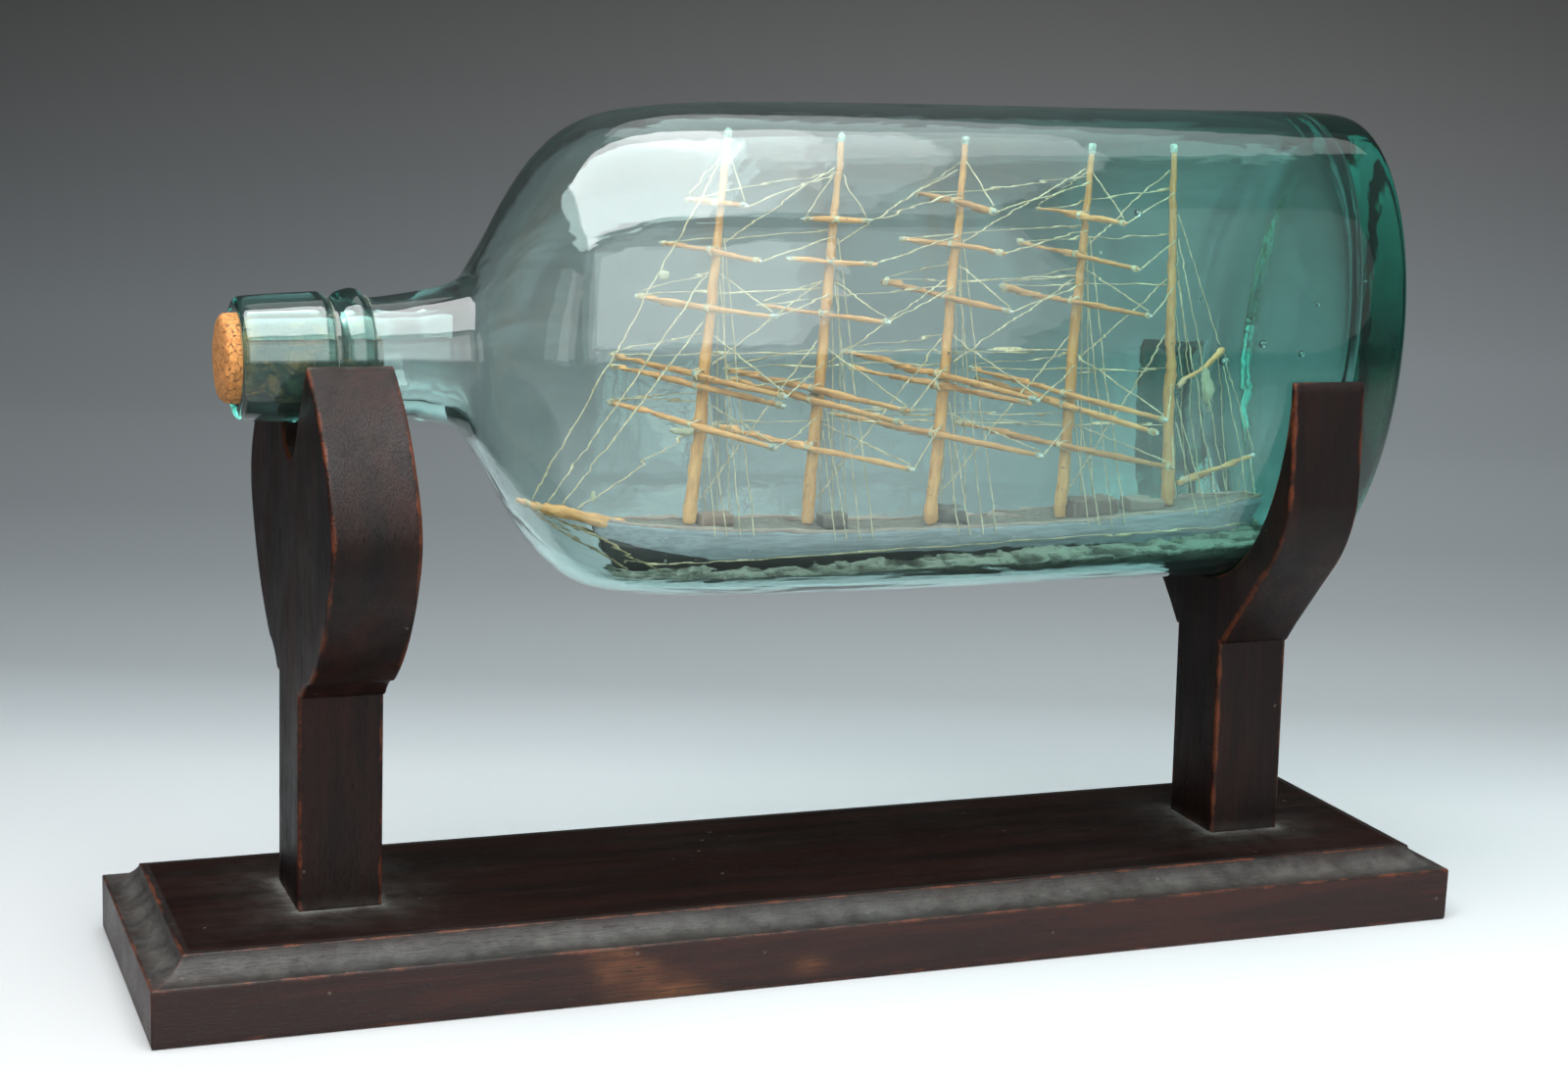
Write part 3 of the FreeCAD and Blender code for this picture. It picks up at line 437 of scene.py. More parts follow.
def mahogany(name, upright):
    """Dark stained hardwood: fibres, pores, rubbed arrises, a worn patch, scuffs and dust, which in the
    board's cove also paints a grey sheen.

    The grain runs along X, or along Z in an upright.
    """
    material, tree, principled = new_material(name)
    place = object_mm(tree)
    if upright:
        parts = node(tree, "SeparateXYZ", {0: place}).outputs
        place = node(tree, "CombineXYZ", {0: parts[2], 1: parts[1], 2: parts[0]}).outputs[0]
    grain = use_group(tree, GRAIN, {"Vector": place})
    colour = blend(tree, grain["Figure"], (0.0046, 0.0026, 0.0022), (0.0105, 0.0044, 0.0033))
    colour = over(tree, colour, grain["Fibre"], 0.55, (0.0030, 0.0021, 0.0020))
    lighter = times(tree, mark(tree, "bare"), ranged(tree, grain["Fibre"], 0.0, 1.0, 1.0, 0.45))
    colour = blend(tree, times(tree, lighter, 1.0, clamp=True), colour, (0.20, 0.080, 0.030))
    reddish = times(tree, mark(tree, "red"), ranged(tree, grain["Figure"], 0.0, 1.0, 0.45, 1.0))
    colour = over(tree, colour, reddish, 0.8, (0.034, 0.0085, 0.0055))
    rub = use_group(tree, WEAR, {"Edge": mark(tree, "wear"), "Vector": place, "Amount": 0.74})["Mask"]
    colour = over(tree, colour, rub, 0.75, (0.10, 0.026, 0.010))
    colour = over(tree, colour, grain["Pores"], 0.75, (0.0035, 0.0028, 0.003))
    scuffs = flecks(tree, place, 0.22, 0.10, 0.11)
    colour = over(tree, colour, scuffs, 0.35, (0.13, 0.11, 0.09))
    # dust, which in the board's cove also paints a grey sheen
    dust_and_sheen = use_group(tree, DUST, {"Vector": place, "Amount": mark(tree, "dust_and_sheen")})["Mask"]
    colour = blend(tree, dust_and_sheen, colour, (0.15, 0.15, 0.14))
    rough = plus(tree, ranged(tree, grain["Fibre"], 0.0, 1.0, 0.40, 0.50), times(tree, dust_and_sheen, 0.35))
    smear = noise(tree, place, 0.045, 3.0, 0.6)
    rough = plus(tree, rough, ranged(tree, smear, 0.3, 0.7, -0.05, 0.07), clamp=True)
    surfaced(tree, principled, colour, rough)
    sheen = times(tree, mark(tree, "sheen"), 0.30)
    tree.links.new(sheen, principled.inputs["Specular IOR Level"])
    dents = noise(tree, place, 0.32, 2.0, 0.5)
    height = plus(tree, times(tree, grain["Fibre"], 0.3), times(tree, grain["Pores"], -0.8))
    height = plus(tree, height, times(tree, dents, 0.9))
    bumped(tree, principled, height, 0.00012, 0.75)
    return material


def aqua_glass(name, density, colour):
    """Old aqua glass, gently uneven, that lets lamps through.

    It takes its colour from its depth, and more at the neck and towards the bottom.
    """
    material, tree, principled = new_material(name)
    place = object_mm(tree)
    along = node(tree, "SeparateXYZ", {0: place}).outputs[0]
    at_neck = times(tree, ranged(tree, along, -118.0, -130.0), 0.75)
    deeper = maths(tree, "MAXIMUM", ranged(tree, along, 20.0, 130.0), at_neck)
    tint = blend(tree, deeper, (0.96, 0.985, 0.98), (0.66, 0.94, 0.90))
    principled.inputs["Transmission Weight"].default_value = 0.992
    principled.inputs["IOR"].default_value = 1.5
    swirl = streaks(tree, place, (0.022, 0.05, 0.05), 2.0, 0.45, 1.2)
    cords = streaks(tree, place, (0.03, 0.28, 0.28), 2.0, 0.5, 0.5)
    height = plus(tree, swirl, times(tree, cords, 0.16))
    height = times(tree, height, mark(tree, "face"))
    bumped(tree, principled, height, 0.0006, 0.35)
    smears = noise(tree, place, 0.12, 4.0, 0.7, 0.6)
    surfaced(tree, principled, tint, ranged(tree, smears, 0.5, 0.85, 0.0, 0.07))
    to_lamp = node(tree, "LightPath").outputs["Is Shadow Ray"]
    clear = node(tree, "BsdfTransparent").outputs[0]
    mixed = node(tree, "MixShader", {0: to_lamp, 1: principled.outputs[0], 2: clear}).outputs[0]
    out = tree.nodes["Material Output"]
    tree.links.new(mixed, out.inputs["Surface"])
    if density:
        deep = node(tree, "VolumeAbsorption", {"Color": tuple(colour) + (1.0,), "Density": density})
        tree.links.new(deep.outputs[0], out.inputs["Volume"])
    return material


def stick_wood(name, light, dark):
    """Pale whittled wood that follows the stick, with dried glue where the mesh says so."""
    material, tree, principled = new_material(name)
    uv = node(tree, "TexCoord").outputs["UV"]
    place = stretched(tree, uv, 9.0, 1.0, 1.0)
    fibre = streaks(tree, place, (1.0, 0.16, 1.0), 3.0, 0.65, 0.3)
    blotch = noise(tree, object_mm(tree), 0.16, 3.0, 0.6)
    tone = plus(tree, times(tree, fibre, 0.7), times(tree, blotch, 0.6))
    colour = blend(tree, ranged(tree, tone, 0.4, 0.95), dark, light)
    colour = blend(tree, mark(tree, "tone"), colour, blend(tree, 0.55, colour, (0.12, 0.045, 0.018)))
    knots = ranged(tree, noise(tree, object_mm(tree), 0.55, 2.0, 0.6), 0.66, 0.76)
    colour = over(tree, colour, knots, 0.6, (0.06, 0.03, 0.015))
    patchy = noise(tree, object_mm(tree), 1.1, 3.0, 0.6)
    glue = ranged(tree, plus(tree, mark(tree, "glue"), patchy), 0.85, 1.15)
    colour = over(tree, colour, glue, 0.85, (0.42, 0.45, 0.42))
    surfaced(tree, principled, colour, ranged(tree, glue, 0.0, 1.0, 0.62, 0.38))
    bumped(tree, principled, plus(tree, fibre, times(tree, patchy, glue)), 0.00009, 0.8)
    return material


def twine(name, light, shade):
    """Old cotton thread, paler and darker along its length, with a fine fuzz."""
    material, tree, principled = new_material(name)
    along = noise(tree, object_mm(tree), 0.22, 3.0, 0.6)
    fuzz = noise(tree, object_mm(tree), 6.0, 2.0, 0.6)
    mixed = plus(tree, times(tree, along, 0.7), times(tree, fuzz, 0.35))
    colour = blend(tree, ranged(tree, mixed, 0.36, 0.68), shade, light)
    surfaced(tree, principled, colour, ranged(tree, fuzz, 0.3, 0.7, 0.75, 0.95))
    bumped(tree, principled, fuzz, 0.00005, 0.8)
    return material


def putty_sea(name):
    """Lumpy oil putty: grey green with pale crests, painted shade in the hollows and brown flecks."""
    material, tree, principled = new_material(name)
    place = object_mm(tree)
    cloud = noise(tree, place, 0.22, 4.0, 0.65, 0.4)
    grit = noise(tree, place, 1.9, 3.0, 0.7)
    colour = blend(tree, ranged(tree, cloud, 0.32, 0.7), (0.014, 0.016, 0.012), (0.085, 0.093, 0.070))
    foam = plus(tree, mark(tree, "foam"), times(tree, maths(tree, "SUBTRACT", grit, 0.5), 1.1))
    colour = over(tree, colour, ranged(tree, foam, 0.42, 0.9), 0.85, (0.27, 0.28, 0.235))
    # painted shade: darker where the putty lies low between the waves
    hollow = ranged(tree, plus(tree, mark(tree, "hollow"), times(tree, grit, 0.5)), 0.75, 1.2)
    colour = over(tree, colour, hollow, 0.8, (0.008, 0.0075, 0.0055))
    brown = flecks(tree, place, 0.5, 0.16, 0.28)
    colour = over(tree, colour, brown, 0.55, (0.055, 0.032, 0.014))
    white = flecks(tree, place, 0.9, 0.10, 0.22)
    colour = over(tree, colour, white, 0.7, (0.30, 0.31, 0.28))
    surfaced(tree, principled, colour, ranged(tree, grit, 0.3, 0.7, 0.42, 0.68))
    principled.inputs["Coat Weight"].default_value = 0.25
    principled.inputs["Coat Roughness"].default_value = 0.25
    relief = plus(tree, times(tree, cloud, 1.6), times(tree, grit, 0.5))
    bumped(tree, principled, relief, 0.0005, 0.9)
    return material


def hull_paint(name):
    """Hand-brushed hull: grey topsides over black, pale scuffs and specks, dusty deck."""
    material, tree, principled = new_material(name)
    place = object_mm(tree)
    brush = streaks(tree, place, (0.12, 1.4, 1.4), 3.0, 0.6)
    wobble = streaks(tree, place, (0.10, 0.3, 0.3), 2.0, 0.5)
    waver = times(tree, maths(tree, "SUBTRACT", wobble, 0.5), 1.6)
    edge = plus(tree, mark(tree, "topside"), waver)
    grey = blend(tree, ranged(tree, brush, 0.3, 0.7), (0.135, 0.142, 0.160), (0.215, 0.227, 0.250))
    black = blend(tree, ranged(tree, brush, 0.3, 0.7), (0.0045, 0.0042, 0.0045), (0.011, 0.010, 0.010))
    colour = blend(tree, ranged(tree, edge, -0.15, 0.15), black, grey)
    scuff = ranged(tree, streaks(tree, place, (0.35, 0.8, 0.8), 4.0, 0.75), 0.60, 0.78)
    colour = over(tree, colour, scuff, 0.35, (0.16, 0.165, 0.16))
    specks = flecks(tree, place, 0.55, 0.12, 0.2)
    colour = over(tree, colour, specks, 0.6, (0.32, 0.325, 0.31))
    deck = blend(tree, ranged(tree, noise(tree, place, 0.5, 3.0, 0.6), 0.3, 0.7), (0.07, 0.045, 0.032),
                 (0.14, 0.125, 0.11))
    colour = blend(tree, mark(tree, "deck"), colour, deck)
    surfaced(tree, principled, colour, ranged(tree, brush, 0.25, 0.75, 0.38, 0.6))
    bumped(tree, principled, plus(tree, brush, scuff), 0.00012, 0.8)
    return material


def old_paint(name, colour, under, dirt):
    """Thin old paint with brush marks, bare corners and pale dust."""
    material, tree, principled = new_material(name)
    place = object_mm(tree)
    brush = streaks(tree, place, (0.25, 1.8, 1.8), 3.0, 0.6)
    mixed = blend(tree, ranged(tree, brush, 0.3, 0.75), under, colour)
    closer = stretched(tree, place, 3.0, 3.0, 3.0)
    chips = use_group(tree, WEAR, {"Edge": mark(tree, "wear"), "Vector": closer, "Amount": 0.9})["Mask"]
    mixed = over(tree, mixed, chips, 0.7, (0.20, 0.14, 0.09))
    cloud = use_group(tree, DUST, {"Vector": stretched(tree, place, 3.5, 3.5, 3.5), "Amount": dirt})["Mask"]
    mixed = blend(tree, cloud, mixed, (0.30, 0.285, 0.26))
    surfaced(tree, principled, mixed, ranged(tree, brush, 0.3, 0.7, 0.5, 0.75))
    bumped(tree, principled, brush, 0.0001, 0.8)
    return material


def cork_bark(name):
    """Cork: warm tan with dark creases, dirty where it sits in the neck."""
    material, tree, principled = new_material(name)
    place = object_mm(tree)
    cells = node(tree, "TexVoronoi", {"Vector": stretched(tree, place, 1.0, 1.5, 0.8), "Scale": 0.42,
                                      "Randomness": 1.0}, feature="DISTANCE_TO_EDGE").outputs["Distance"]
    warp = noise(tree, place, 0.5, 3.0, 0.65, 1.5)
    fine = noise(tree, place, 2.4, 3.0, 0.7)
    colour = blend(tree, ranged(tree, warp, 0.3, 0.7), (0.33, 0.115, 0.024), (0.56, 0.24, 0.062))
    colour = blend(tree, ranged(tree, fine, 0.45, 0.75), colour, (0.62, 0.31, 0.095))
    crease = times(tree, ranged(tree, cells, 0.0, 0.12, 1.0, 0.0), ranged(tree, warp, 0.42, 0.62))
    pits = flecks(tree, place, 0.75, 0.3, 0.32)
    dark = plus(tree, crease, times(tree, pits, 0.5), clamp=True)
    colour = over(tree, colour, dark, 0.9, (0.045, 0.018, 0.008))
    mould = streaks(tree, place, (0.10, 0.16, 0.16), 4.0, 0.7, 0.8)
    stain = times(tree, mark(tree, "inside"), ranged(tree, mould, 0.32, 0.5, 0.55, 1.0))
    colour = blend(tree, stain, colour, blend(tree, ranged(tree, mould, 0.48, 0.66), (0.007, 0.0085, 0.005),
                                              (0.055, 0.053, 0.034)))
    surfaced(tree, principled, colour, ranged(tree, fine, 0.3, 0.7, 0.7, 0.92))
    relief = maths(tree, "SUBTRACT", times(tree, fine, 0.5), dark)
    bumped(tree, principled, relief, 0.0004, 0.8)
    return material


def glue_white(name, light, dark):
    """Dried glue or plaster: milky, greenish in its folds."""
    material, tree, principled = new_material(name)
    place = object_mm(tree)
    cloud = noise(tree, place, 0.9, 3.0, 0.6)
    colour = blend(tree, ranged(tree, cloud, 0.35, 0.65), dark, light)
    surfaced(tree, principled, colour, ranged(tree, cloud, 0.3, 0.7, 0.35, 0.6))
    bumped(tree, principled, noise(tree, place, 3.0, 2.0, 0.6), 0.00015, 0.8)
    return material


BOARD_WOOD = mahogany("stained_board", False)
POST_WOOD = mahogany("stained_post", True)
BOTTLE_GLASS = aqua_glass("aqua_glass", 50.0, (0.08, 0.72, 0.64))
SEED_GLASS = aqua_glass("seed_glass", 0.0, (1, 1, 1))
STICK = stick_wood("spar_stick", (0.68, 0.35, 0.140), (0.42, 0.175, 0.058))
TWINE = twine("rigging_twine", (0.54, 0.45, 0.30), (0.29, 0.22, 0.13))
STOUT_TWINE = twine("stout_twine", (0.28, 0.21, 0.12), (0.14, 0.10, 0.05))
PUTTY = putty_sea("putty_waves")
HULL_PAINT = hull_paint("brushed_hull")
RAIL_PAINT = old_paint("rail_paint", (0.42, 0.28, 0.25), (0.25, 0.13, 0.10), 0.35)
CORK = cork_bark("old_cork")
GLUE = glue_white("dried_glue", (0.36, 0.39, 0.36), (0.18, 0.21, 0.19))
BEAD = glue_white("truck_bead", (0.36, 0.42, 0.36), (0.18, 0.27, 0.22))
CLOTH = twine("frayed_cloth", (0.40, 0.37, 0.27), (0.25, 0.22, 0.14))
RESIDUE = glue_white("neck_residue", (0.22, 0.23, 0.18), (0.10, 0.11, 0.08))
# paint, what shows under it, and how dusty each house is
HOUSE_LOOKS = {
    "fore_house": ((0.21, 0.085, 0.05), (0.14, 0.055, 0.032), 0.2),
    "main_house": ((0.065, 0.026, 0.02), (0.04, 0.018, 0.013), 0.2),
    "middle_house": ((0.055, 0.038, 0.033), (0.03, 0.022, 0.019), 0.2),
    "mizzen_house": ((0.12, 0.045, 0.03), (0.07, 0.026, 0.018), 0.2),
    "poop_house": ((0.20, 0.13, 0.10), (0.12, 0.07, 0.05), 0.3),
}
HOUSE_PAINTS = {name: old_paint(name + "_paint", *look) for name, look in HOUSE_LOOKS.items()}

# ---------------------------------------------------------------- stand

BASE = {"half_long": 190.0, "half_wide": 47.0, "side": 15.7, "top": 21.2, "cove": 8.9, "cove_r": 9.5}
POST_THICK = 22.6
# left face, half width at the foot, lean to the left, and the height past which the arrises are finer
NECK_POST = {"left": -146.9, "half": 13.5, "lean": 0.0, "thin_above": math.inf}
BODY_POST = {"left": 128.5, "half": 12.7, "lean": 0.027, "thin_above": 158.0}
TIP_BEVEL = 0.22
# where both posts' straight shafts end, the fork's tips, and the half width and height of its cradle
SHAFT_TOP, TIP_Z = 80.1, 162.6
CRADLE_WIDE, CRADLE_TALL = 45.8, 68.6
AXIS_Z = 167.0


def post_dust(x, y):
    """Dust gathered round the foot of each post, fading over a few millimetres."""
    total = np.zeros(np.broadcast(x, y).shape)
    for post in (NECK_POST, BODY_POST):
        dx = np.maximum(np.abs(x - post["left"] - POST_THICK / 2) - POST_THICK / 2, 0)
        dy = np.maximum(np.abs(y) - post["half"], 0)
        gap = np.hypot(dx, dy)
        total += 0.75 * np.exp(-gap / 1.2) + 0.30 * np.exp(-gap / 7.0)
    return total


def base_board():
    """Board: a moulded edge carried round a rectangle, and a gridded top.

    A row of the moulding at inset d and height z is the rectangle (190 - d) by (47 - d).  Each row
    is inset, height, how rubbed it is and how dusty; in the cove the dust also stands for a painted grey
    sheen.
    """
    rows = [(2.0, 0.0, 0.0, 0.0), (0.7, 0.05, 0.7, 0.0), (0.15, 0.3, 1.0, 0.0), (0.0, 0.9, 0.7, 0.0)]
    rows += [(0.0, z, 0.0, 0.0) for z in (2.0, 3.2, 4.6, 6.0, 7.4, 8.8, 10.2, 11.6, 13.0, 14.0)]
    rows += [(0.0, 14.8, 0.55, 0.0), (0.05, 15.3, 0.9, 0.0), (0.25, 15.6, 1.0, 0.0)]
    rows += [(0.8, BASE["side"], 0.55, 0.15)]
    cove = arc((0.8, BASE["side"]), (BASE["cove"], 20.4), BASE["cove_r"], -1, 11)[1:]
    level = np.linspace(0, 1, len(cove))
    # the cove's dust also paints in the grey sheen of the hollow moulding
    rows += [(p[0], p[1], 0.0, 0.16 + 0.16 * math.sin(math.pi * t)) for p, t in zip(cove, level)]
    rows += [(8.85, 20.35, 0.15, 0.15), (8.92, 20.8, 0.85, 0.05), (9.05, 21.05, 1.0, 0.0),
             (9.45, 21.2, 0.85, 0.0), (10.8, 21.2, 0.0, 0.03)]
    rows = np.array(rows)
    last = rows[-1, 0]
    hx, hy = BASE["half_long"] - last, BASE["half_wide"] - last
    xs = np.unique(np.concatenate([np.linspace(-hx, hx, 181), [-hx + 0.7, -hx + 1.3, hx - 1.3, hx - 0.7]]))
    ys = np.unique(np.concatenate([np.linspace(-hy, hy, 39), [-hy + 0.7, hy - 0.7]]))
    nx, ny = len(xs), len(ys)
    loop_i = np.concatenate([np.arange(nx - 1), np.full(ny - 1, nx - 1), np.arange(nx - 1, 0, -1),
                             np.zeros(ny - 1, int)])
    loop_j = np.concatenate([np.zeros(nx - 1, int), np.arange(ny - 1), np.full(nx - 1, ny - 1),
                             np.arange(ny - 1, 0, -1)])
    lx, ly = xs[loop_i] / hx, ys[loop_j] / hy
    inset, height = rows[:, 0][:, None], rows[:, 1][:, None]
    x = lx[None, :] * (BASE["half_long"] - inset)
    y = ly[None, :] * (BASE["half_wide"] - inset)
    z = np.broadcast_to(height, x.shape)
    to_corner = np.hypot(BASE["half_long"] - inset - np.abs(x), BASE["half_wide"] - inset - np.abs(y))
    corner = np.exp(-to_corner / 0.8) * 0.9
    wear = np.maximum(np.broadcast_to(rows[:, 2][:, None], x.shape), corner)
    dust_and_sheen = np.broadcast_to(rows[:, 3][:, None], x.shape).copy()
    # light wedge rubbed bare on the near side, and a small one beside it
    front = (y < -46) & (height < 15.5)
    left = -71.05 - z * 0.35
    right = -38.2 - z * 1.9
    bare = 1 / (1 + np.exp(-(x - left) / 1.2)) / (1 + np.exp((x - right) / 1.6))
    bare *= 0.75 + 0.45 * ripple(x / 6, z / 2.5, 5)
    small = np.exp(-((x + 14) / 4.5) ** 2 - ((z - 5.4) / 2.4) ** 2) * 0.6
    bare = np.where(front, np.clip(bare, 0, 1) * 0.85 + small, 0.0)
    red = np.broadcast_to((height < 15.3), x.shape) * 0.8
    n, m = x.shape
    rings = np.stack([x, y, z], axis=-1)
    side = skin(rings, {"wear": wear, "dust_and_sheen": dust_and_sheen, "bare": bare, "red": red, "sheen": np.ones(x.shape)},
                along=rows[:, 1])
    # the top replaces the last fan: inner grid points join the last ring's points at its border
    side.tris = side.tris[:m]
    side.tri_uv = side.tri_uv[:m]
    border = np.full((nx, ny), -1)
    border[loop_i, loop_j] = (n - 1) * m + np.arange(m)
    inner = border < 0
    border[inner] = len(side.points) + np.arange(inner.sum())
    gx, gy = np.meshgrid(xs, ys, indexing="ij")
    top = np.stack([gx[inner], gy[inner], np.full(inner.sum(), BASE["top"])], axis=-1)
    uv = np.stack([gx, gy], -1)
    cells = ((slice(None, -1), slice(None, -1)), (slice(1, None), slice(None, -1)),
             (slice(1, None), slice(1, None)), (slice(None, -1), slice(1, None)))
    quads = np.stack([border[cell] for cell in cells], -1).reshape(-1, 4)
    quv = np.stack([uv[cell] for cell in cells], -2).reshape(-1, 4, 2)
    corner_0, corner_1, _, corner_3 = side.points[side.quads[-1]]
    if np.cross(corner_1 - corner_0, corner_3 - corner_0)[2] < 0:
        quads = quads[:, ::-1]
        quv = quv[:, ::-1]
    films = post_dust(gx, gy) + 0.006 + 0.02 * np.clip(ripple(gx / 30, gy / 12, 8), 0, 1)
    extra = {"wear": np.zeros(inner.sum()), "dust_and_sheen": films[inner], "bare": np.zeros(inner.sum()),
             "red": np.full(inner.sum(), 0.12), "sheen": np.full(inner.sum(), 0.1)}
    marks = {w: np.concatenate([side.marks[w], extra[w]]) for w in side.marks}
    whole = Shell(np.concatenate([side.points, top]), np.concatenate([side.quads, quads]), side.tris,
                  np.concatenate([side.quad_uv, quv]), side.tri_uv, marks)
    piece("base_board_wood", whole, BOARD_WOOD, "stand", ["base_board"])


def outline(corners, reach=1.6):
    """Closed outline through corners; a corner with a radius and a side starts an arc.

    Returns the points and how sharp each one is, from 0 on a run to 1 at a square corner.
    """
    points = []
    count = len(corners)
    for i, corner in enumerate(corners):
        start, end = np.array(corner[:2], float), np.array(corners[(i + 1) % count][:2], float)
        length = np.hypot(*(end - start))
        if len(corner) == 4:
            run = arc(start, end, corner[2], corner[3], max(int(length / reach), 3))
        else:
            t = np.linspace(0, 1, max(int(length / 4.0), 1) + 1)[:-1]
            if length > 4:
                t = np.unique(np.concatenate([t, [1.1 / length, 1 - 1.1 / length]]))
            run = start + (end - start) * t[:, None]
        points.append(run)
    points = np.concatenate(points)
    before, after = unit(points - np.roll(points, 1, 0)), unit(np.roll(points, -1, 0) - points)
    return points, np.clip(1.3 - 1.4 * (before * after).sum(-1), 0, 1)


def turned_in(points, amount):
    """An outline that runs anticlockwise, moved inward by an amount along each point's mean normal."""
    before, after = np.roll(points, 1, 0), np.roll(points, -1, 0)
    a, b = unit(points - before), unit(after - points)
    na, nb = np.stack([-a[:, 1], a[:, 0]], -1), np.stack([-b[:, 1], b[:, 0]], -1)
    mean = unit(na + nb)
    stretch = 1 / np.maximum((mean * na).sum(-1), 0.7)
    return points + mean * (np.asarray(amount) * stretch)[:, None]


def distance_to(points, places):
    """Least distance from each place to a closed outline, over all its sides at once."""
    a, b = points, np.roll(points, -1, 0)
    ab = b - a
    t = ((places[:, None, :] - a) * ab).sum(-1) / np.maximum((ab ** 2).sum(-1), 1e-9)
    nearest = a + np.clip(t, 0, 1)[..., None] * ab
    return np.linalg.norm(places[:, None, :] - nearest, axis=-1).min(1)


def within(points, places):
    """Whether each place is inside a closed outline, by counting crossings."""
    a, b = points, np.roll(points, -1, 0)
    x, y = places[:, None, 0], places[:, None, 1]
    crosses = ((a[:, 1] > y) != (b[:, 1] > y))
    rise = b[:, 1] - a[:, 1]
    rise = np.where(np.abs(rise) < 1e-9, 1e-9, rise)
    at = (b[:, 0] - a[:, 0]) * (y - a[:, 1]) / rise + a[:, 0]
    return (crosses & (x < at)).sum(1) % 2 == 1


def post(node_name, corners, spec, edge_red):
    """Upright cut from a plank: an outline in Y and Z pushed through X, with rounded arrises.

    Both flat faces are filled with triangles over a grid, so that wear can fade in from the edge.
    """
    bevel = 0.75
    points, sharp = outline(corners)
    area = (points[:, 0] * np.roll(points[:, 1], -1) - points[:, 1] * np.roll(points[:, 0], -1)).sum()
    if area < 0:
        points, sharp = points[::-1], sharp[::-1]
    m = len(points)
    amount = np.where(points[:, 1] > spec["thin_above"], TIP_BEVEL, bevel)
    x0, x1 = spec["left"], spec["left"] + POST_THICK
    steps = [(x0, 1.0, 1.0), (x0 + 0.12 * bevel, 0.62, 1.0), (x0 + 0.45 * bevel, 0.2, 1.0),
             (x0 + bevel, 0.0, 0.95), (x0 + bevel + 1.0, 0.0, 0.12)]
    middles = [(x, 0.0, 0.0) for x in np.linspace(x0 + bevel + 2.4, x1 - bevel - 2.4, 7)]
    steps = steps + middles + [(x0 + x1 - x, s, w) for x, s, w in steps[::-1]]
    rings, wear = [], []
    for x, share, rub in steps:
        loop = turned_in(points, amount * share) if share else points
        rings.append(np.column_stack([np.full(m, x), loop]))
        wear.append(np.maximum(rub, sharp * 0.9))
    rings, wear = np.array(rings), np.array(wear)
    flat = rings[0][:, 1:]
    low, high = flat.min(0), flat.max(0)
    pitch = 2.6
    gy, gz = np.meshgrid(*(np.arange(low[k], high[k], pitch) for k in range(2)), indexing="ij")
    grid = np.stack([gy.ravel() + (np.arange(gy.size) % 2) * 0.01, gz.ravel()], -1)
    near = turned_in(flat, np.full(m, 1.0))
    keep = within(flat, near) & (distance_to(flat, near) > 0.8)
    grid = grid[within(flat, grid)]
    grid = grid[distance_to(flat, grid) > 1.9]
    places = np.concatenate([flat, near[keep], grid])
    edges = [(i, (i + 1) % m) for i in range(m)]
    found = geometry.delaunay_2d_cdt([Vector(p) for p in places], edges, [], 1, 1e-5)
    faces, origins = np.array(found[2]), found[3]
    source = np.array([o[0] for o in origins])
    shell = skin(rings, {"wear": wear})
    base = len(steps) * m
    shell.points = shell.points[:base]
    shell.marks = {"wear": shell.marks["wear"][:base]}
    inner_count = len(places) - m
    all_points, tris, wears = [shell.points], [], [shell.marks["wear"]]
    for k, (x, first) in enumerate(((x0, 0), (x1, base - m))):
        start = base + k * inner_count
        index = np.where(source < m, first + source, start + source - m)
        all_points.append(np.column_stack([np.full(inner_count, x), places[m:]]))
        wears.append(np.concatenate([np.full(int(keep.sum()), 0.2), np.zeros(len(grid))]))
        flip = faces if k else faces[:, ::-1]
        tris.append(index[flip])
    shell.points = np.concatenate(all_points)
    shell.tris = np.concatenate(tris)
    shell.tri_uv = shell.points[shell.tris][:, :, 1:]
    wear = np.concatenate(wears)
    p = shell.points
    x, y, z = p[:, 0], p[:, 1], p[:, 2]
    foot = np.exp(-np.maximum(z - BASE["top"], 0) / 1.0) * 0.25
    film = 0.008 + 0.04 * np.clip(ripple(y / 14, z / 22, 3), 0, 1) * (z > 80)
    shell.marks = {"wear": wear, "dust_and_sheen": foot + film, "bare": np.zeros(len(p)),
                   "sheen": np.where(x < x0 + 0.3, 0.15, 0.5),
                   "red": np.clip(edge_red * (0.4 + 0.6 * ripple(x / 9 + y / 11, z / 20, 6)), 0, 1)}
    shell.points = np.column_stack([x - spec["lean"] * (z - BASE["top"]), y, z])
    piece(node_name + "_wood", shell, POST_WOOD, "stand", [node_name])


def both_sides(right):
    """Right-hand corners from the foot up, followed by the same corners mirrored on the way down."""
    left = []
    for i in range(len(right) - 1, -1, -1):
        corner = (-right[i][0], right[i][1])
        if i > 0 and len(right[i - 1]) == 4:
            corner += (right[i - 1][2], right[i - 1][3])
        left.append(corner)
    return right + left


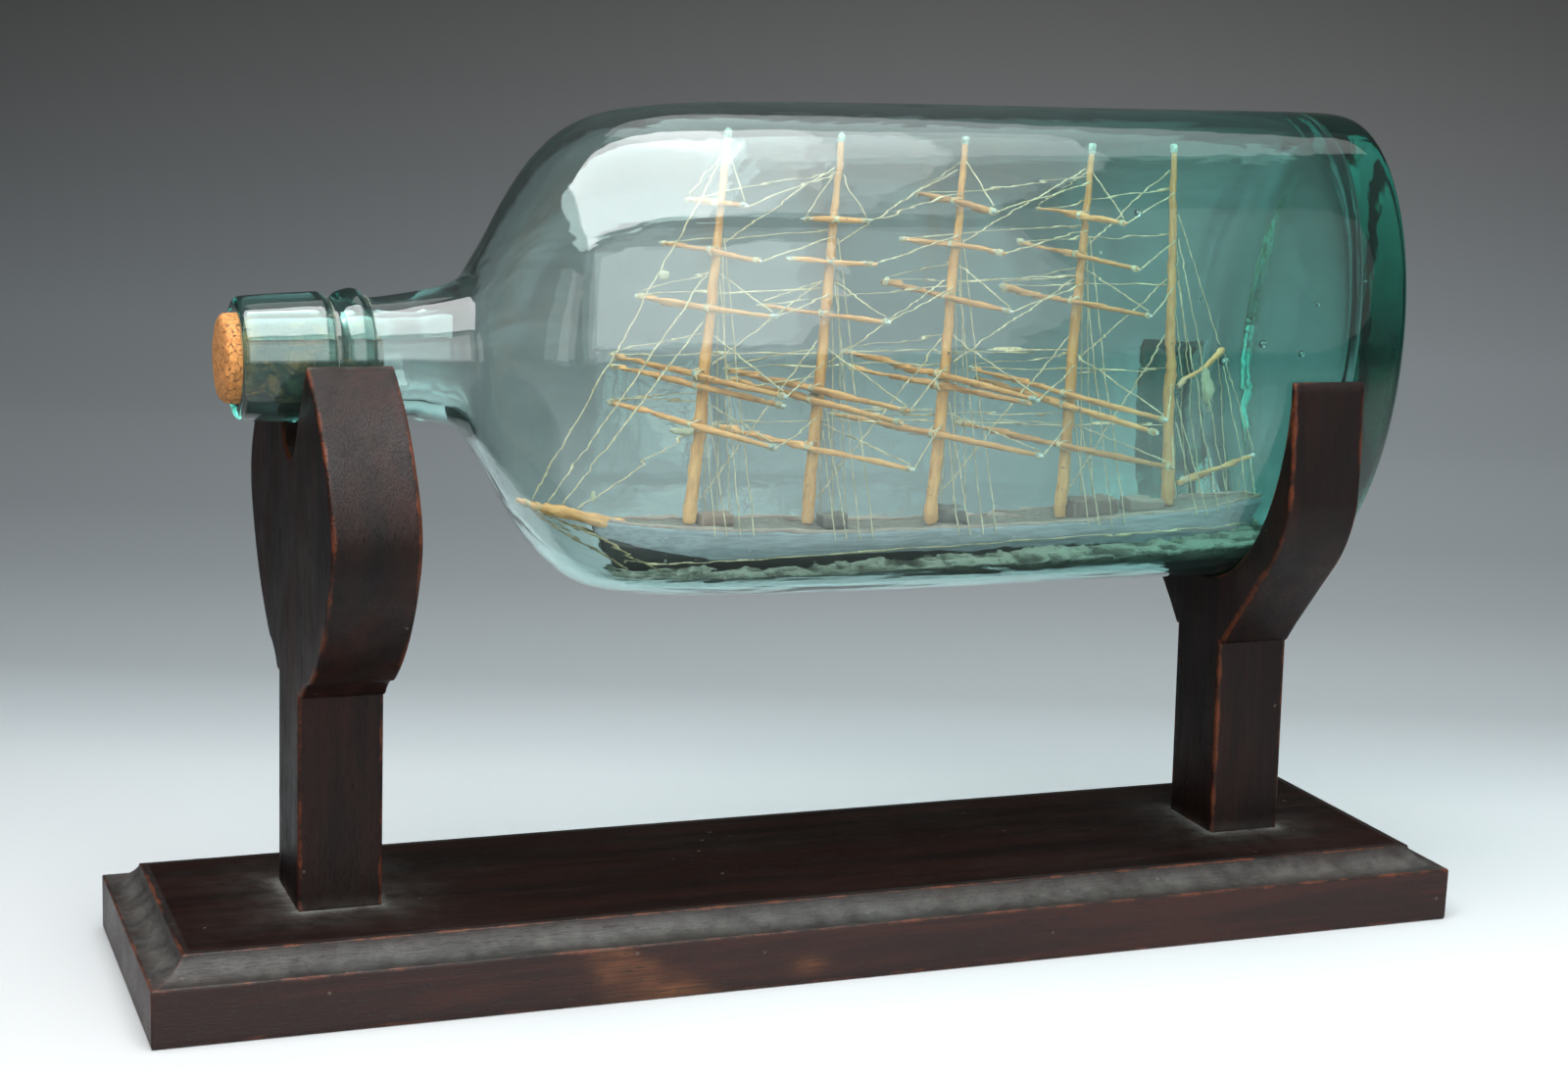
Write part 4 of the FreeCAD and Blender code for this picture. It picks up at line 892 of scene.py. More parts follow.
def posts():
    """Lyre-headed post for the neck and forked post for the body, with the oval hollow of its cradle."""
    foot = BASE["top"] - 0.25
    half = NECK_POST["half"]
    lyre = [(half, foot), (half, SHAFT_TOP), (16.2, SHAFT_TOP, 18, 1), (27, 86.5, 69, -1),
            (53.5, 118.5, 20.5, -1), (52.5, 138.5, 75, -1), (22.2, 167.6), (7.55, 145.05, 9, 1)]
    post("neck_upright", both_sides(lyre), NECK_POST, 0.6)
    tip_y = CRADLE_WIDE * math.sqrt(1 - ((TIP_Z - AXIS_Z) / CRADLE_TALL) ** 2)
    sweep = np.linspace(0, math.pi, 66)[1:-1]
    start = math.asin((TIP_Z - AXIS_Z) / CRADLE_TALL)
    angles = start - sweep / math.pi * (math.pi + 2 * start)
    hollow = [(CRADLE_WIDE * math.cos(a), AXIS_Z + CRADLE_TALL * math.sin(a)) for a in angles]
    half = BODY_POST["half"]
    right = [(half, foot), (half, SHAFT_TOP), (13.8, SHAFT_TOP), (18.5, 86), (36, 105.5, 44, -1),
             (47.6, 127), (48.2, 143), (47.4, 160.5), (46.6, TIP_Z)]
    left = both_sides(right)[len(right):]
    corners = right + [(tip_y, TIP_Z)] + hollow + [(-tip_y, TIP_Z)] + left
    post("body_upright", corners, BODY_POST, 0.35)


# ---------------------------------------------------------------- bottle

# outside and inside behind the lip: x, half height, half width, lean of the section
GLASS_OUT = np.array([
    (-130, 15.3, 15.3, 0), (-124, 15.6, 15.6, 0), (-117, 16.5, 16.5, 0), (-110, 17.6, 17.6, 0),
    (-104.5, 19, 18.8, 0), (-100.5, 21.4, 20.6, 0), (-97, 26.5, 24.2, 0), (-93, 33, 28.2, 0),
    (-88, 42, 33.4, 0), (-83.5, 49.2, 37, 0), (-79, 54.8, 39.6, 0), (-73, 60, 41.8, 0),
    (-65, 63.8, 43.5, 0), (-54, 66, 44.6, 0), (-36, 67.4, 45.2, 0), (-10, 68.1, 45.45, 0),
    (30, 68.3, 45.5, 0), (80, 68.3, 45.5, 0), (115, 68.3, 45.5, 0.006), (140, 68.3, 45.5, 0.03),
    (152, 68.2, 45.3, 0.045), (157, 67.8, 44.8, 0.051), (160, 67, 43.9, 0.054), (162.1, 65.4, 42.4, 0.055),
    (163.2, 63.4, 40.6, 0.055), (163.6, 61, 38.2, 0.055)])
GLASS_IN = np.array([
    (-112, 11.9, 11.9, 0), (-107, 13, 13, 0), (-103, 15.2, 15, 0), (-99.5, 18.4, 17.6, 0),
    (-96, 24, 21.4, 0), (-92, 30.6, 25.2, 0), (-87, 38.9, 29.9, 0), (-82.5, 45.5, 33.3, 0),
    (-78, 50.8, 35.8, 0), (-72, 55.9, 37.9, 0), (-64, 59.8, 39.6, 0), (-53, 62, 40.7, 0),
    (-36, 63.5, 41.4, 0), (-10, 64.3, 41.65, 0), (30, 64.5, 41.7, 0), (80, 64.5, 41.7, 0),
    (112, 64.4, 41.6, 0.012), (132, 64, 41.3, 0.05), (140.5, 63, 40.4, 0.07), (145.6, 61, 38.6, 0.085),
    (148.6, 58.2, 36, 0.09), (150.2, 54.6, 32.6, 0.09), (150.7, 50.8, 29, 0.09)])
BORE_R = 11.8
LIP_START = -126.0


def bottle():
    """Bottle as one closed skin of ovals: (x + lean tall sin a, wide cos a, 167 + tall sin a).

    The row of ovals runs from the middle of the bottom over the outside to the mouth, in through the
    bore and along the inside back to the middle of the bottom.  The glass is a little uneven.
    """
    heel = np.array([(160.9, 1.5, 1.0, 0.055), (161.1, 20, 12.5, 0.055), (161.8, 40, 25, 0.055),
                     (162.7, 51, 31.7, 0.055), (163.3, 57, 35, 0.055)])
    outside = smooth_row(GLASS_OUT, 5)[::-1]
    lip = np.array([(-126.2, 15.45), (-127.3, 15.5), (-128.3, 16.7), (-129.3, 17.7), (-130.8, 18.0),
                    (-132.2, 17.75), (-134.6, 17.0), (-135.7, 15.7), (-136.6, 15.4), (-137.6, 15.5),
                    (-138.3, 16.3), (-139.2, 17.0), (-140.4, 17.1), (-148, 16.7), (-158.6, 16.15),
                    (-160.4, 15.7), (-161.0, 14.6), (-161.0, 12.9), (-160.5, 12.0), (-159.4, BORE_R)])
    lip = rounded_row(lip, 2)
    bore = np.column_stack([np.linspace(-158, -113, 24), np.full(24, BORE_R)])
    turned = np.concatenate([lip, bore])
    turned = np.column_stack([turned, turned[:, 1], 0 * turned[:, 1]])
    inside = smooth_row(GLASS_IN, 5)
    bottom = np.array([(150.75, 46, 25.6, 0.09), (150.7, 38, 21, 0.09), (150.4, 24, 13.2, 0.09),
                       (150.1, 10, 5.6, 0.09), (150.0, 1.5, 0.9, 0.09)])
    outside = outside[outside[:, 0] > LIP_START]
    outer_n = len(heel) + len(outside)
    row = np.concatenate([heel, outside, turned, inside, bottom])
    sides = 160
    a = around(sides)
    x, tall, wide, lean = (row[:, k][:, None] for k in range(4))
    index = np.arange(len(row))[:, None]
    outer = index < outer_n
    inner = (index >= outer_n + len(turned))
    drift = ripple(x / 34, a / 0.8, 11) + 0.4 * ripple(x / 13, a / 0.35, 12)
    shoulder = np.exp(-((x + 88) / 16) ** 2)
    change = np.where(outer, -0.03 - 0.06 * (1 + np.clip(drift, -1, 1)), 0.0)
    change = np.where(inner, (0.07 + 0.40 * shoulder) * drift * np.clip((tall - 11.9) / 6, 0, 1), change)
    fade = np.clip((tall - 2) / 20, 0, 1)
    change = change * fade
    y = (wide + change) * np.cos(a)
    z = AXIS_Z + (tall + change) * np.sin(a)
    rings = np.stack([x + lean * (z - AXIS_Z), y, z], axis=-1)
    face = np.broadcast_to(np.clip((outer_n + 90.0 - index) / 30.0, -1, 1), y.shape)
    piece("bottle", skin(rings, {"face": face}), BOTTLE_GLASS, "bottle",
          ["bottle_glass"])


def pebble(centre, radii, seed, rings=8, sides=12, rough=0.12, marks=None):
    """Lumpy ball: centre + radii * (1 + rough * ripple) * direction."""
    t = (np.arange(rings) + 0.5) / rings * np.pi
    a = around(sides)
    t, a = np.meshgrid(t, a, indexing="ij")
    way = np.stack([np.sin(t) * np.cos(a), np.sin(t) * np.sin(a), np.cos(t)], -1)
    lump = 1 + rough * ripple(way[..., 0] * 2 + seed * 0.37, way[..., 1] * 2 + way[..., 2] * 1.7, 21)
    points = np.asarray(centre, float) + way * np.asarray(radii, float) * lump[..., None]
    if marks is not None:
        marks = {w: np.full(t.shape, v) for w, v in marks.items()}
    return skin(points, marks)


def seeds():
    """Small bubbles caught in the near wall, drawn out along the bottle."""
    places = [(103.4, -43.5, 168.8, 1.15), (115.3, -43.3, 173.3, 0.9), (128.0, -43.4, 170.4, 0.75),
              (78.8, -34.3, 208.3, 0.85), (96.0, -41.8, 185.5, 0.35), (60.0, -42.9, 156.0, 0.3),
              (141.0, -43.2, 160.0, 0.45), (149.0, -40.0, 190.0, 0.4), (20.0, -43.2, 172.0, 0.28),
              (-31.0, -42.8, 160.5, 0.3), (66.0, -38.0, 198.0, 0.33), (133.0, -42.0, 184.0, 0.5)]
    shells = [pebble((x, y, z), (r * 1.5, r * 0.8, r * 1.2), k, 8, 12, 0.0, {"face": 0.0})
              for k, (x, y, z, r) in enumerate(places)]
    piece("glass_seeds", gather(shells), SEED_GLASS, "bottle")


def residue():
    """Broken rings of old sealing left in the grooves of the lip."""
    shells = []
    for k, (x, r, start, stretch) in enumerate(((-137.0, 15.62, 0.3, 5.4), (-127.2, 15.72, 3.2, 2.6),
                                                (-127.0, 15.72, 0.2, 1.9))):
        a = start + np.linspace(0, stretch, 90)
        path = np.column_stack([x + 0.15 * ripple(a * 3, k, 4), r * np.cos(a), AXIS_Z + r * np.sin(a)])
        thin_ends = np.clip(np.sin(np.linspace(0, np.pi, 90)) * 5, 0.1, 1)
        shells.append(swept(path, 0.20 * (0.55 + 0.45 * ripple(a * 5, k + 9, 5)) * thin_ends, 6))
    piece("lip_residue", gather(shells), RESIDUE, "bottle")


def cork():
    """Cork turned about the neck's axis, with a domed, creased outer end."""
    row = np.array([(-165.3, 0.6), (-165.4, 4.0), (-165.2, 8.0), (-164.7, 10.4), (-163.9, 11.4),
                    (-162.8, 11.68), (-160.5, 11.72), (-152, 11.72), (-142, 11.72), (-132, 11.72),
                    (-126, 11.7), (-124.9, 11.3), (-124.4, 10.0), (-124.3, 6.0), (-124.3, 0.6)])
    row = smooth_row(row, 4)
    sides = 64
    a = around(sides)
    x, r = row[:, 0][:, None], row[:, 1][:, None]
    out = np.clip((-160.6 - x) / 3, 0, 1)
    y, z = r * np.cos(a), r * np.sin(a)
    dent = 0.32 * ripple(y / 2.6, z / 1.7, 17) + 0.2 * ripple(y / 1.2, z / 0.9, 18)
    back = np.clip(dent - 0.02, -0.6, 0)
    x = x - back * out
    rr = r * (1 - 0.012 * out * (1 + ripple(a * 3, x / 2, 19)))
    rings = np.stack([np.broadcast_to(x, y.shape), rr * np.cos(a), AXIS_Z + rr * np.sin(a)], -1)
    inside = np.broadcast_to(np.clip((x + 160.8) / 2.5, 0, 1), y.shape)
    piece("cork_stopper", skin(rings, {"inside": inside}), CORK, "stopper", ["cork"])


# ---------------------------------------------------------------- hull and sea

STEM_X, STERN_X = -64.0, 142.5
HULL_HALF, BOW_X, QUARTER_X = 9.2, -28.0, 112.0
BOW_R, QUARTER_R = 79.6, 118.3


def sheer(x):
    """Deck edge: a hanging arc between 122 at the bow and 123.4 at the stern."""
    x0, x1 = STEM_X - 3, STERN_X + 10
    return 122 + 1.4 * (x - x0) / (x1 - x0) - (x - x0) * (x1 - x) / 2300


def breadth(x):
    """Half breadth of the deck: full amidships, arcs of 79.6 to the bow and 118.3 to the quarter."""
    fore = np.sqrt(np.maximum(BOW_R ** 2 - np.minimum(x - BOW_X, 0) ** 2, 0)) - BOW_R
    aft = np.sqrt(np.maximum(QUARTER_R ** 2 - np.maximum(x - QUARTER_X, 0) ** 2, 0)) - QUARTER_R
    return HULL_HALF + fore + aft


def keel(x):
    """Underside of the hull, lifting towards the stem."""
    return 105.35 + 1.4 * np.clip((BOW_X - x) / 29.25, 0, 1.2)


def hull():
    """Hull: rings that run across the deck, down one side, under the bottom and up the other side.

    At a share t up the side the hull runs from the raked stem to the counter and is (0.7 to 1) times
    the deck's half breadth at the ends of the ship, where it draws in below.
    """
    stations, deck_n, side_n, floor_n = 150, 5, 14, 4
    u = np.linspace(0, 1, stations)
    u = (u - np.sin(2 * np.pi * u) / (2 * np.pi) * 0.55)[:, None]
    t_side = np.linspace(1, 0, side_n)
    t = np.concatenate([np.ones(deck_n), t_side, np.zeros(floor_n)])
    share = np.concatenate([np.linspace(0, 0.94, deck_n), np.ones(side_n), np.linspace(0.86, 0, floor_n)])
    on_deck = np.concatenate([np.ones(deck_n), np.zeros(side_n + floor_n)])
    stem = np.interp(t, [0, 0.78, 1.0], [-57.0, -63.8, -63.95])
    stern = np.interp(t, [0, 1.0], [133.8, 142.4])
    x = stem + (stern - stem) * u
    top = sheer(x)
    z = keel(x) + (top - keel(x)) * t
    ends = np.clip((-20 - x) / 40, 0, 1) + np.clip((x - 120) / 40, 0, 1)
    draw_in = 1 - 0.30 * ends * (1 - t) - 0.10 * (1 - t) ** 6
    half = np.maximum(breadth(x), 0.3) * draw_in
    half = half - 0.08 * (1 + ripple(x / 9, z / 3, 31))
    y = -half * share
    z = z - on_deck * 0.05
    right = np.stack([x, y, z], -1)
    left = right[:, ::-1] * [1, -1, 1]
    rings = np.concatenate([right, left[:, 1:-1]], axis=1)
    xr, zr = rings[..., 0], rings[..., 2]
    split = 111.5 + 5.5 * np.clip((-30 - xr) / 34, 0, 1) ** 1.5
    deck = np.broadcast_to(np.concatenate([on_deck, on_deck[::-1][1:-1]]), xr.shape)
    marks = {"topside": zr - split, "deck": deck}
    piece("ship_hull", skin(rings, marks), HULL_PAINT, "bottle", ["hull"])


def deck_loop(inset, count=260):
    """Deck outline drawn in by an inset, round from the bow by both sides, as an open row."""
    s = np.linspace(0, 1, count)
    x = -60.0 + (STERN_X - inset + 60.0) * s
    y = -(breadth(x) - inset)
    side = np.column_stack([x, y])
    across_stern = np.column_stack([np.full(9, STERN_X - inset), np.linspace(-1, 1, 11)[1:-1] * -y[-1]])
    return np.concatenate([side, across_stern, side[::-1] * [1, -1]])


def rails():
    """Capping: a small rounded square, 0.8 by 0.8, carried round the deck edge."""
    path = deck_loop(0.7)
    along = np.concatenate([[0], np.cumsum(np.hypot(*np.diff(path, axis=0).T))])
    way = unit(np.gradient(path, axis=0))
    out = np.column_stack([way[:, 1], -way[:, 0]])
    corner = np.array([(-0.36, 0.0), (0.36, 0.0), (0.4, 0.06), (0.4, 0.66),
                       (0.3, 0.76), (-0.3, 0.76), (-0.4, 0.66), (-0.4, 0.06)])
    wobble = 1 + 0.10 * ripple(along / 3.5, 1.0, 33)
    xy = path[:, None, :] + out[:, None, :] * corner[None, :, :1] * wobble[:, None, None]
    z = sheer(path[:, 0])[:, None] + corner[None, :, 1] * (1 + 0.05 * ripple(along / 5, 2.0, 34))[:, None]
    rings = np.concatenate([xy, z[..., None]], axis=-1)
    wear = np.tile([0, 0, 0.3, 0.9, 1, 1, 0.9, 0.3], (len(path), 1))
    piece("deck_rail", skin(rings, {"wear": wear}), RAIL_PAINT, "bottle", ["rails"])


def house(name):
    """Deck house: a whittled block whose rings are rounded rectangles, drawn in at the roof edge.

    Each row of the block is inset, height and how rubbed it is.
    """
    low, high = (np.array(v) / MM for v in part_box(name))
    centre, half = (low + high) / 2, (high - low) / 2
    top = high[2]
    rows = [(0.0, low[2], 0.3), (0.0, low[2] + 1.2, 0.2), (0.0, top - 0.9, 0.3), (0.0, top - 0.3, 0.9),
            (0.12, top - 0.08, 1.0), (0.35, top, 1.0), (1.2, top, 0.1)]
    sides = 48
    a = around(sides) + 0.01
    c, s = np.cos(a), np.sin(a)
    power = 0.16
    ux, uy = np.sign(c) * np.abs(c) ** power, np.sign(s) * np.abs(s) ** power
    sharp = np.exp(-((np.abs(np.abs(c) - np.abs(s))) / 0.35) ** 2)
    rings, wear = [], []
    for inset, z, rub in rows:
        lean = 0.02 * (z - low[2])
        x = centre[0] + (half[0] - inset - lean) * ux + 0.06 * ripple(a * 2, z / 2, 51)
        y = centre[1] + (half[1] - inset - lean) * uy + 0.06 * ripple(a * 2, z / 2, 52)
        rings.append(np.clip(np.column_stack([x, y, np.full(sides, z)]), low, high))
        wear.append(np.maximum(rub * 0.8, sharp * 0.9 * (rub < 0.95)))
    shell = skin(np.array(rings), {"wear": np.array(wear)})
    piece(name + "_block", shell, HOUSE_PAINTS[name], "bottle", [name])


def cavity(x):
    """Half height and half width of the space inside the bottle at x, down where the putty lies."""
    row = smooth_row(GLASS_IN, 5)
    low_x = row[:, 0] - 57 * row[:, 3]
    return np.interp(x, low_x, row[:, 1]), np.interp(x, low_x, row[:, 2])


def sea():
    """Putty: a lumpy top between the walls of the bottle, closed underneath along the glass.

    A section at x runs over the top from wall to wall and back along the oval of the glass.
    """
    x = np.concatenate([np.linspace(-59.5, 140.0, 290), np.linspace(140.6, 144.6, 8)])[:, None]
    clear, wave = 0.28, 0.9
    tall, wide = cavity(x)
    tall, wide = tall - clear, wide - clear
    level = np.interp(x, [-62, -57, -40, 6, 18, 48, 79, 134, 145],
                      [105.6, 106.6, 108.3, 108.3, 108.9, 109.9, 110.8, 112.4, 112.9])
    s = np.linspace(-1, 1, 61)[None, :]

    def lumps(x, y):
        """Rounded waves: two sizes of billow, 1 - |ripple|, and a slow swell."""
        big = 1 - np.abs(ripple(x / 5.2, y / 4.2, 61)) * 1.9
        small = 1 - np.abs(ripple(x / 1.9 + 7, y / 1.7, 62)) * 1.9
        fine = ripple(x / 0.9, y / 0.8, 63)
        return 0.85 * big + 0.42 * small + 0.10 * fine + 0.5 * ripple(x / 17, y / 9, 64)

    edge_z = level + wave * lumps(x, s * 19)
    reach = wide * np.sqrt(np.clip(1 - ((edge_z - AXIS_Z) / tall) ** 2, 0.0004, 1))
    reach = np.where(s < 0, reach[:, :1], reach[:, -1:])
    y = s * reach
    swell = lumps(x, y)
    floor_z = AXIS_Z - tall * np.sqrt(np.clip(1 - (y / wide) ** 2, 0, 1))
    z = np.maximum(level + wave * swell, floor_z + 0.04)
    z[:, 0], z[:, -1] = floor_z[:, 0] + 0.02, floor_z[:, -1] + 0.02
    under = np.linspace(1, -1, 33)[None, 1:-1]
    reach_u = np.where(under < 0, reach[:, :1], reach[:, -1:])
    yu = under * reach_u
    zu = AXIS_Z - tall * np.sqrt(np.clip(1 - (yu / wide) ** 2, 0, 1))
    rings = np.concatenate([np.stack([np.broadcast_to(x, y.shape), y, z], -1),
                            np.stack([np.broadcast_to(x, yu.shape), yu, zu], -1)], axis=1)
    near_hull = np.exp(-np.maximum(np.abs(y) - breadth(np.clip(x, STEM_X, STERN_X)), 0) / 2.5)
    foamy = 0.25 + 0.35 * np.clip((x - 20) / 40, 0, 1) * np.clip((140 - x) / 60, 0, 1)
    foam = np.clip(foamy + 0.55 * np.clip(swell, -1, 1) + 0.15 * near_hull - 0.05, 0, 1)
    # painted shade in the troughs, stronger where the swell is low
    hollow = np.clip(0.35 - 0.8 * swell, 0, 1)
    flat = np.zeros(yu.shape)
    marks = {"foam": np.concatenate([foam, flat + 0.30], 1), "hollow": np.concatenate([hollow, flat], 1)}
    piece("sea_putty", skin(rings, marks), PUTTY, "bottle", ["sea"])


# ---------------------------------------------------------------- spars and threads

MASTS = ("fore", "main", "middle", "mizzen", "jigger")
LEVELS = ("royal", "topgallant", "lower_topgallant", "upper_topsail", "lower_topsail", "course")
LIGHT_LEVELS = LEVELS[:3]
YARD_ENDS = []
# millimetres at either end of a stick whose points count as that end
END_SLICE = 0.3


def lines_of(name):
    """Every straight stick in a CAD node, as start, end, start radius and end radius.

    Triangles that share a corner belong together; the long way of each set of corners is its line.
    """
    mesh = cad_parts[name].data
    points = np.zeros(len(mesh.vertices) * 3)
    mesh.vertices.foreach_get("co", points)
    points = points.reshape(-1, 3) / MM
    corners = np.zeros(len(mesh.loops), int)
    mesh.loops.foreach_get("vertex_index", corners)
    keys, same = np.unique(np.round(points, 3), axis=0, return_inverse=True)
    tris = same.ravel()[corners.reshape(-1, 3)]
    label = np.arange(len(keys))
    for _ in range(200):
        least = label[tris].min(1)
        fresh = label.copy()
        for k in range(3):
            np.minimum.at(fresh, tris[:, k], least)
        if (fresh == label).all():
            break
        label = fresh
    found = []
    for which in np.unique(label):
        p = keys[label == which]
        middle = (p.min(0) + p.max(0)) / 2
        _, _, ways = np.linalg.svd(p - p.mean(0), full_matrices=False)
        way = ways[0]
        if way[np.argmax(np.abs(way))] < 0:
            way = -way
        t = (p - middle) @ way
        ends = [p[t < t.min() + END_SLICE], p[t > t.max() - END_SLICE]]
        at_low, at_high = (end.mean(0) for end in ends)
        r_low, r_high = (np.linalg.norm(end - end.mean(0), axis=1).max() for end in ends)
        found.append((at_low, at_high, r_low, r_high))
    return found


def stick(start, end, radii, seed, glue_ends, tone, sides=14, wave=0.06):
    """Whittled stick: a tube with slightly flat sides, a wandering line and rounded ends.

    Radii are (share along, radius) pairs.
    """
    length = np.linalg.norm(end - start)
    count = max(int(length / 1.4), 10)
    first = np.array([0.0, 0.25, 0.7]) / length
    t = np.concatenate([first, np.linspace(1.6 / length, 1 - 1.6 / length, count), 1 - first[::-1]])
    side, up = across((end - start) / length)
    swing = wave * np.sin(np.pi * t)
    path = start + (end - start) * t[:, None]
    path = path + side * (swing * ripple(t * length / 24, seed, 71))[:, None]
    path = path + up * (swing * ripple(t * length / 24, seed + 5, 72))[:, None]
    radius = np.interp(t, [p[0] for p in radii], [p[1] for p in radii])
    ends = np.minimum(t, 1 - t) * length
    radius = radius * (1 + 0.06 * ripple(t * length / 3.5, seed, 73))
    radius = radius * np.interp(ends, [0, 0.25, 0.7, 1.6], [0.55, 0.85, 0.97, 1.0])
    a = around(sides)
    facets = 1 + 0.05 * ripple((a * 1.6)[None, :] + seed, t[:, None] * length / 18, 74)
    glue = np.clip(glue_ends * np.exp(-ends / 4.0) * (0.7 + 0.6 * ripple(t * length / 3, seed, 75)), 0, 1)
    return swept(path, radius, sides, {"glue": glue, "tone": np.full(len(t), tone)}, lobes=facets)


def masts():
    """Five masts, each a stick from the deck to its truck."""
    for k, mast in enumerate(MASTS):
        low, high, r_low, r_high = lines_of(mast + "_mast")[0]
        if low[2] > high[2]:
            low, high, r_low, r_high = high, low, r_high, r_low
        radii = [(0, r_low), (0.5, (r_low + r_high) / 2 + 0.08), (1, r_high)]
        shell = stick(low, high, radii, 3 * k + 1, 0.35, (0.0, 0.15, 0.05, 0.2, 0.3)[k], 18, 0.2)
        piece(mast + "_mast_stick", shell, STICK, "bottle", [mast + "_mast"])


def yards():
    """Twenty-four yards, thickest at the sling and drawn down at the arms."""
    seed = 100
    for mast in MASTS[:4]:
        for level in LEVELS:
            name = "%s_%s_yard" % (mast, level)
            low, high, r_low, r_high = lines_of(name)[0]
            if low[1] < high[1]:
                low, high, r_low, r_high = high, low, r_high, r_low
            middle = 0.8 if level in LIGHT_LEVELS else 0.95
            radii = [(0, r_low), (0.25, middle * 0.92), (0.5, middle), (0.75, middle * 0.92), (1, r_high)]
            seed += 7
            tone = float(np.random.default_rng(seed).random()) * 0.7
            shell = stick(low, high, radii, seed, 0.95, tone)
            piece(name + "_stick", shell, STICK, "bottle", [name])
            YARD_ENDS.append((mast, level, low, high, middle))


def other_spars():
    """Bowsprit, gaff and boom."""
    spars = (("bowsprit", 301, 0.2), ("spanker_gaff", 311, 0.7), ("spanker_boom", 321, 0.9))
    for name, seed, glue in spars:
        low, high, r_low, r_high = lines_of(name)[0]
        shell = stick(low, high, [(0, r_low), (1, r_high)], seed, glue, 0.0, 18)
        piece(name + "_stick", shell, STICK, "bottle", [name])


# millimetres from one ply's crest to the next along a thread
PLY_PITCH = 1.9
THREAD_SIDES = 6


def thread(start, end, radius, seed):
    """Two-ply thread: radius r (1 + 0.3 cos (2a - 2 turn)) where the turn grows along the thread."""
    length = np.linalg.norm(end - start)
    count = max(int(length / 0.62), 6)
    t = np.linspace(0, 1, count)
    side, up = across((end - start) / length)
    sway = np.sin(np.pi * t) * min(0.004 * length, 0.3) + 0.05 * np.minimum(1, np.sin(np.pi * t) * 4)
    path = start + (end - start) * t[:, None]
    path = path + side * (sway * ripple(t * length / 9, seed, 81))[:, None]
    sag = 0.0010 * length * np.sin(np.pi * t)
    path = path + up * (sway * ripple(t * length / 9, seed + 3, 82) - sag)[:, None]
    a = around(THREAD_SIDES)
    turn = t * length / PLY_PITCH * np.pi + seed
    lobes = 1 + 0.30 * np.cos(2 * (a[None, :] - turn[:, None]))
    thick = radius * (1.02 + 0.22 * ripple(t * length / 1.6, seed, 83))
    return swept(path, thick, THREAD_SIDES, lobes=lobes)


def threads(name, material, radius):
    """All the threads of one CAD node as one piece."""
    shells = [thread(low, high, radius, 13 * k + 1) for k, (low, high, _, _) in enumerate(lines_of(name))]
    piece(name + "_twine", gather(shells), material, "bottle", [name])


def coil(start, way, radius, turns, pitch, thick, seed):
    """Thread wound round a stick: radius (cos, sin) round the way, moving on by the pitch each turn."""
    side, up = across(way)
    a = np.linspace(0, turns * 2 * np.pi, int(turns * 9) + 2) + seed
    reach = radius + 0.06 * ripple(a, seed, 91)
    path = (start + way * ((a - a[0]) / (2 * np.pi) * pitch)[:, None]
            + side * (reach * np.cos(a))[:, None] + up * (reach * np.sin(a))[:, None])
    ways = unit(np.gradient(path, axis=0))
    out = side * np.cos(a)[:, None] + up * np.sin(a)[:, None]
    third = np.cross(ways, out)
    b = around(5)
    rings = (path[:, None] + thick * np.cos(b)[None, :, None] * out[:, None]
             + thick * np.sin(b)[None, :, None] * third[:, None])
    return skin(rings)


def lashing(centre, toward, along, reach, width, thick, seed):
    """Loop that binds two crossing sticks: an oval of half sizes reach and width about the centre."""
    a = around(22)
    path = (centre + toward * (reach * np.cos(a))[:, None]
            + along * (width * np.sin(a) * (1 + 0.08 * ripple(a * 2, seed, 92)))[:, None])
    return swept(path, np.full(22, thick), 5, closed=True)


def mast_line(mast):
    """Foot and head of a mast."""
    low, high, _, _ = lines_of(mast + "_mast")[0]
    return (low, high) if low[2] < high[2] else (high, low)


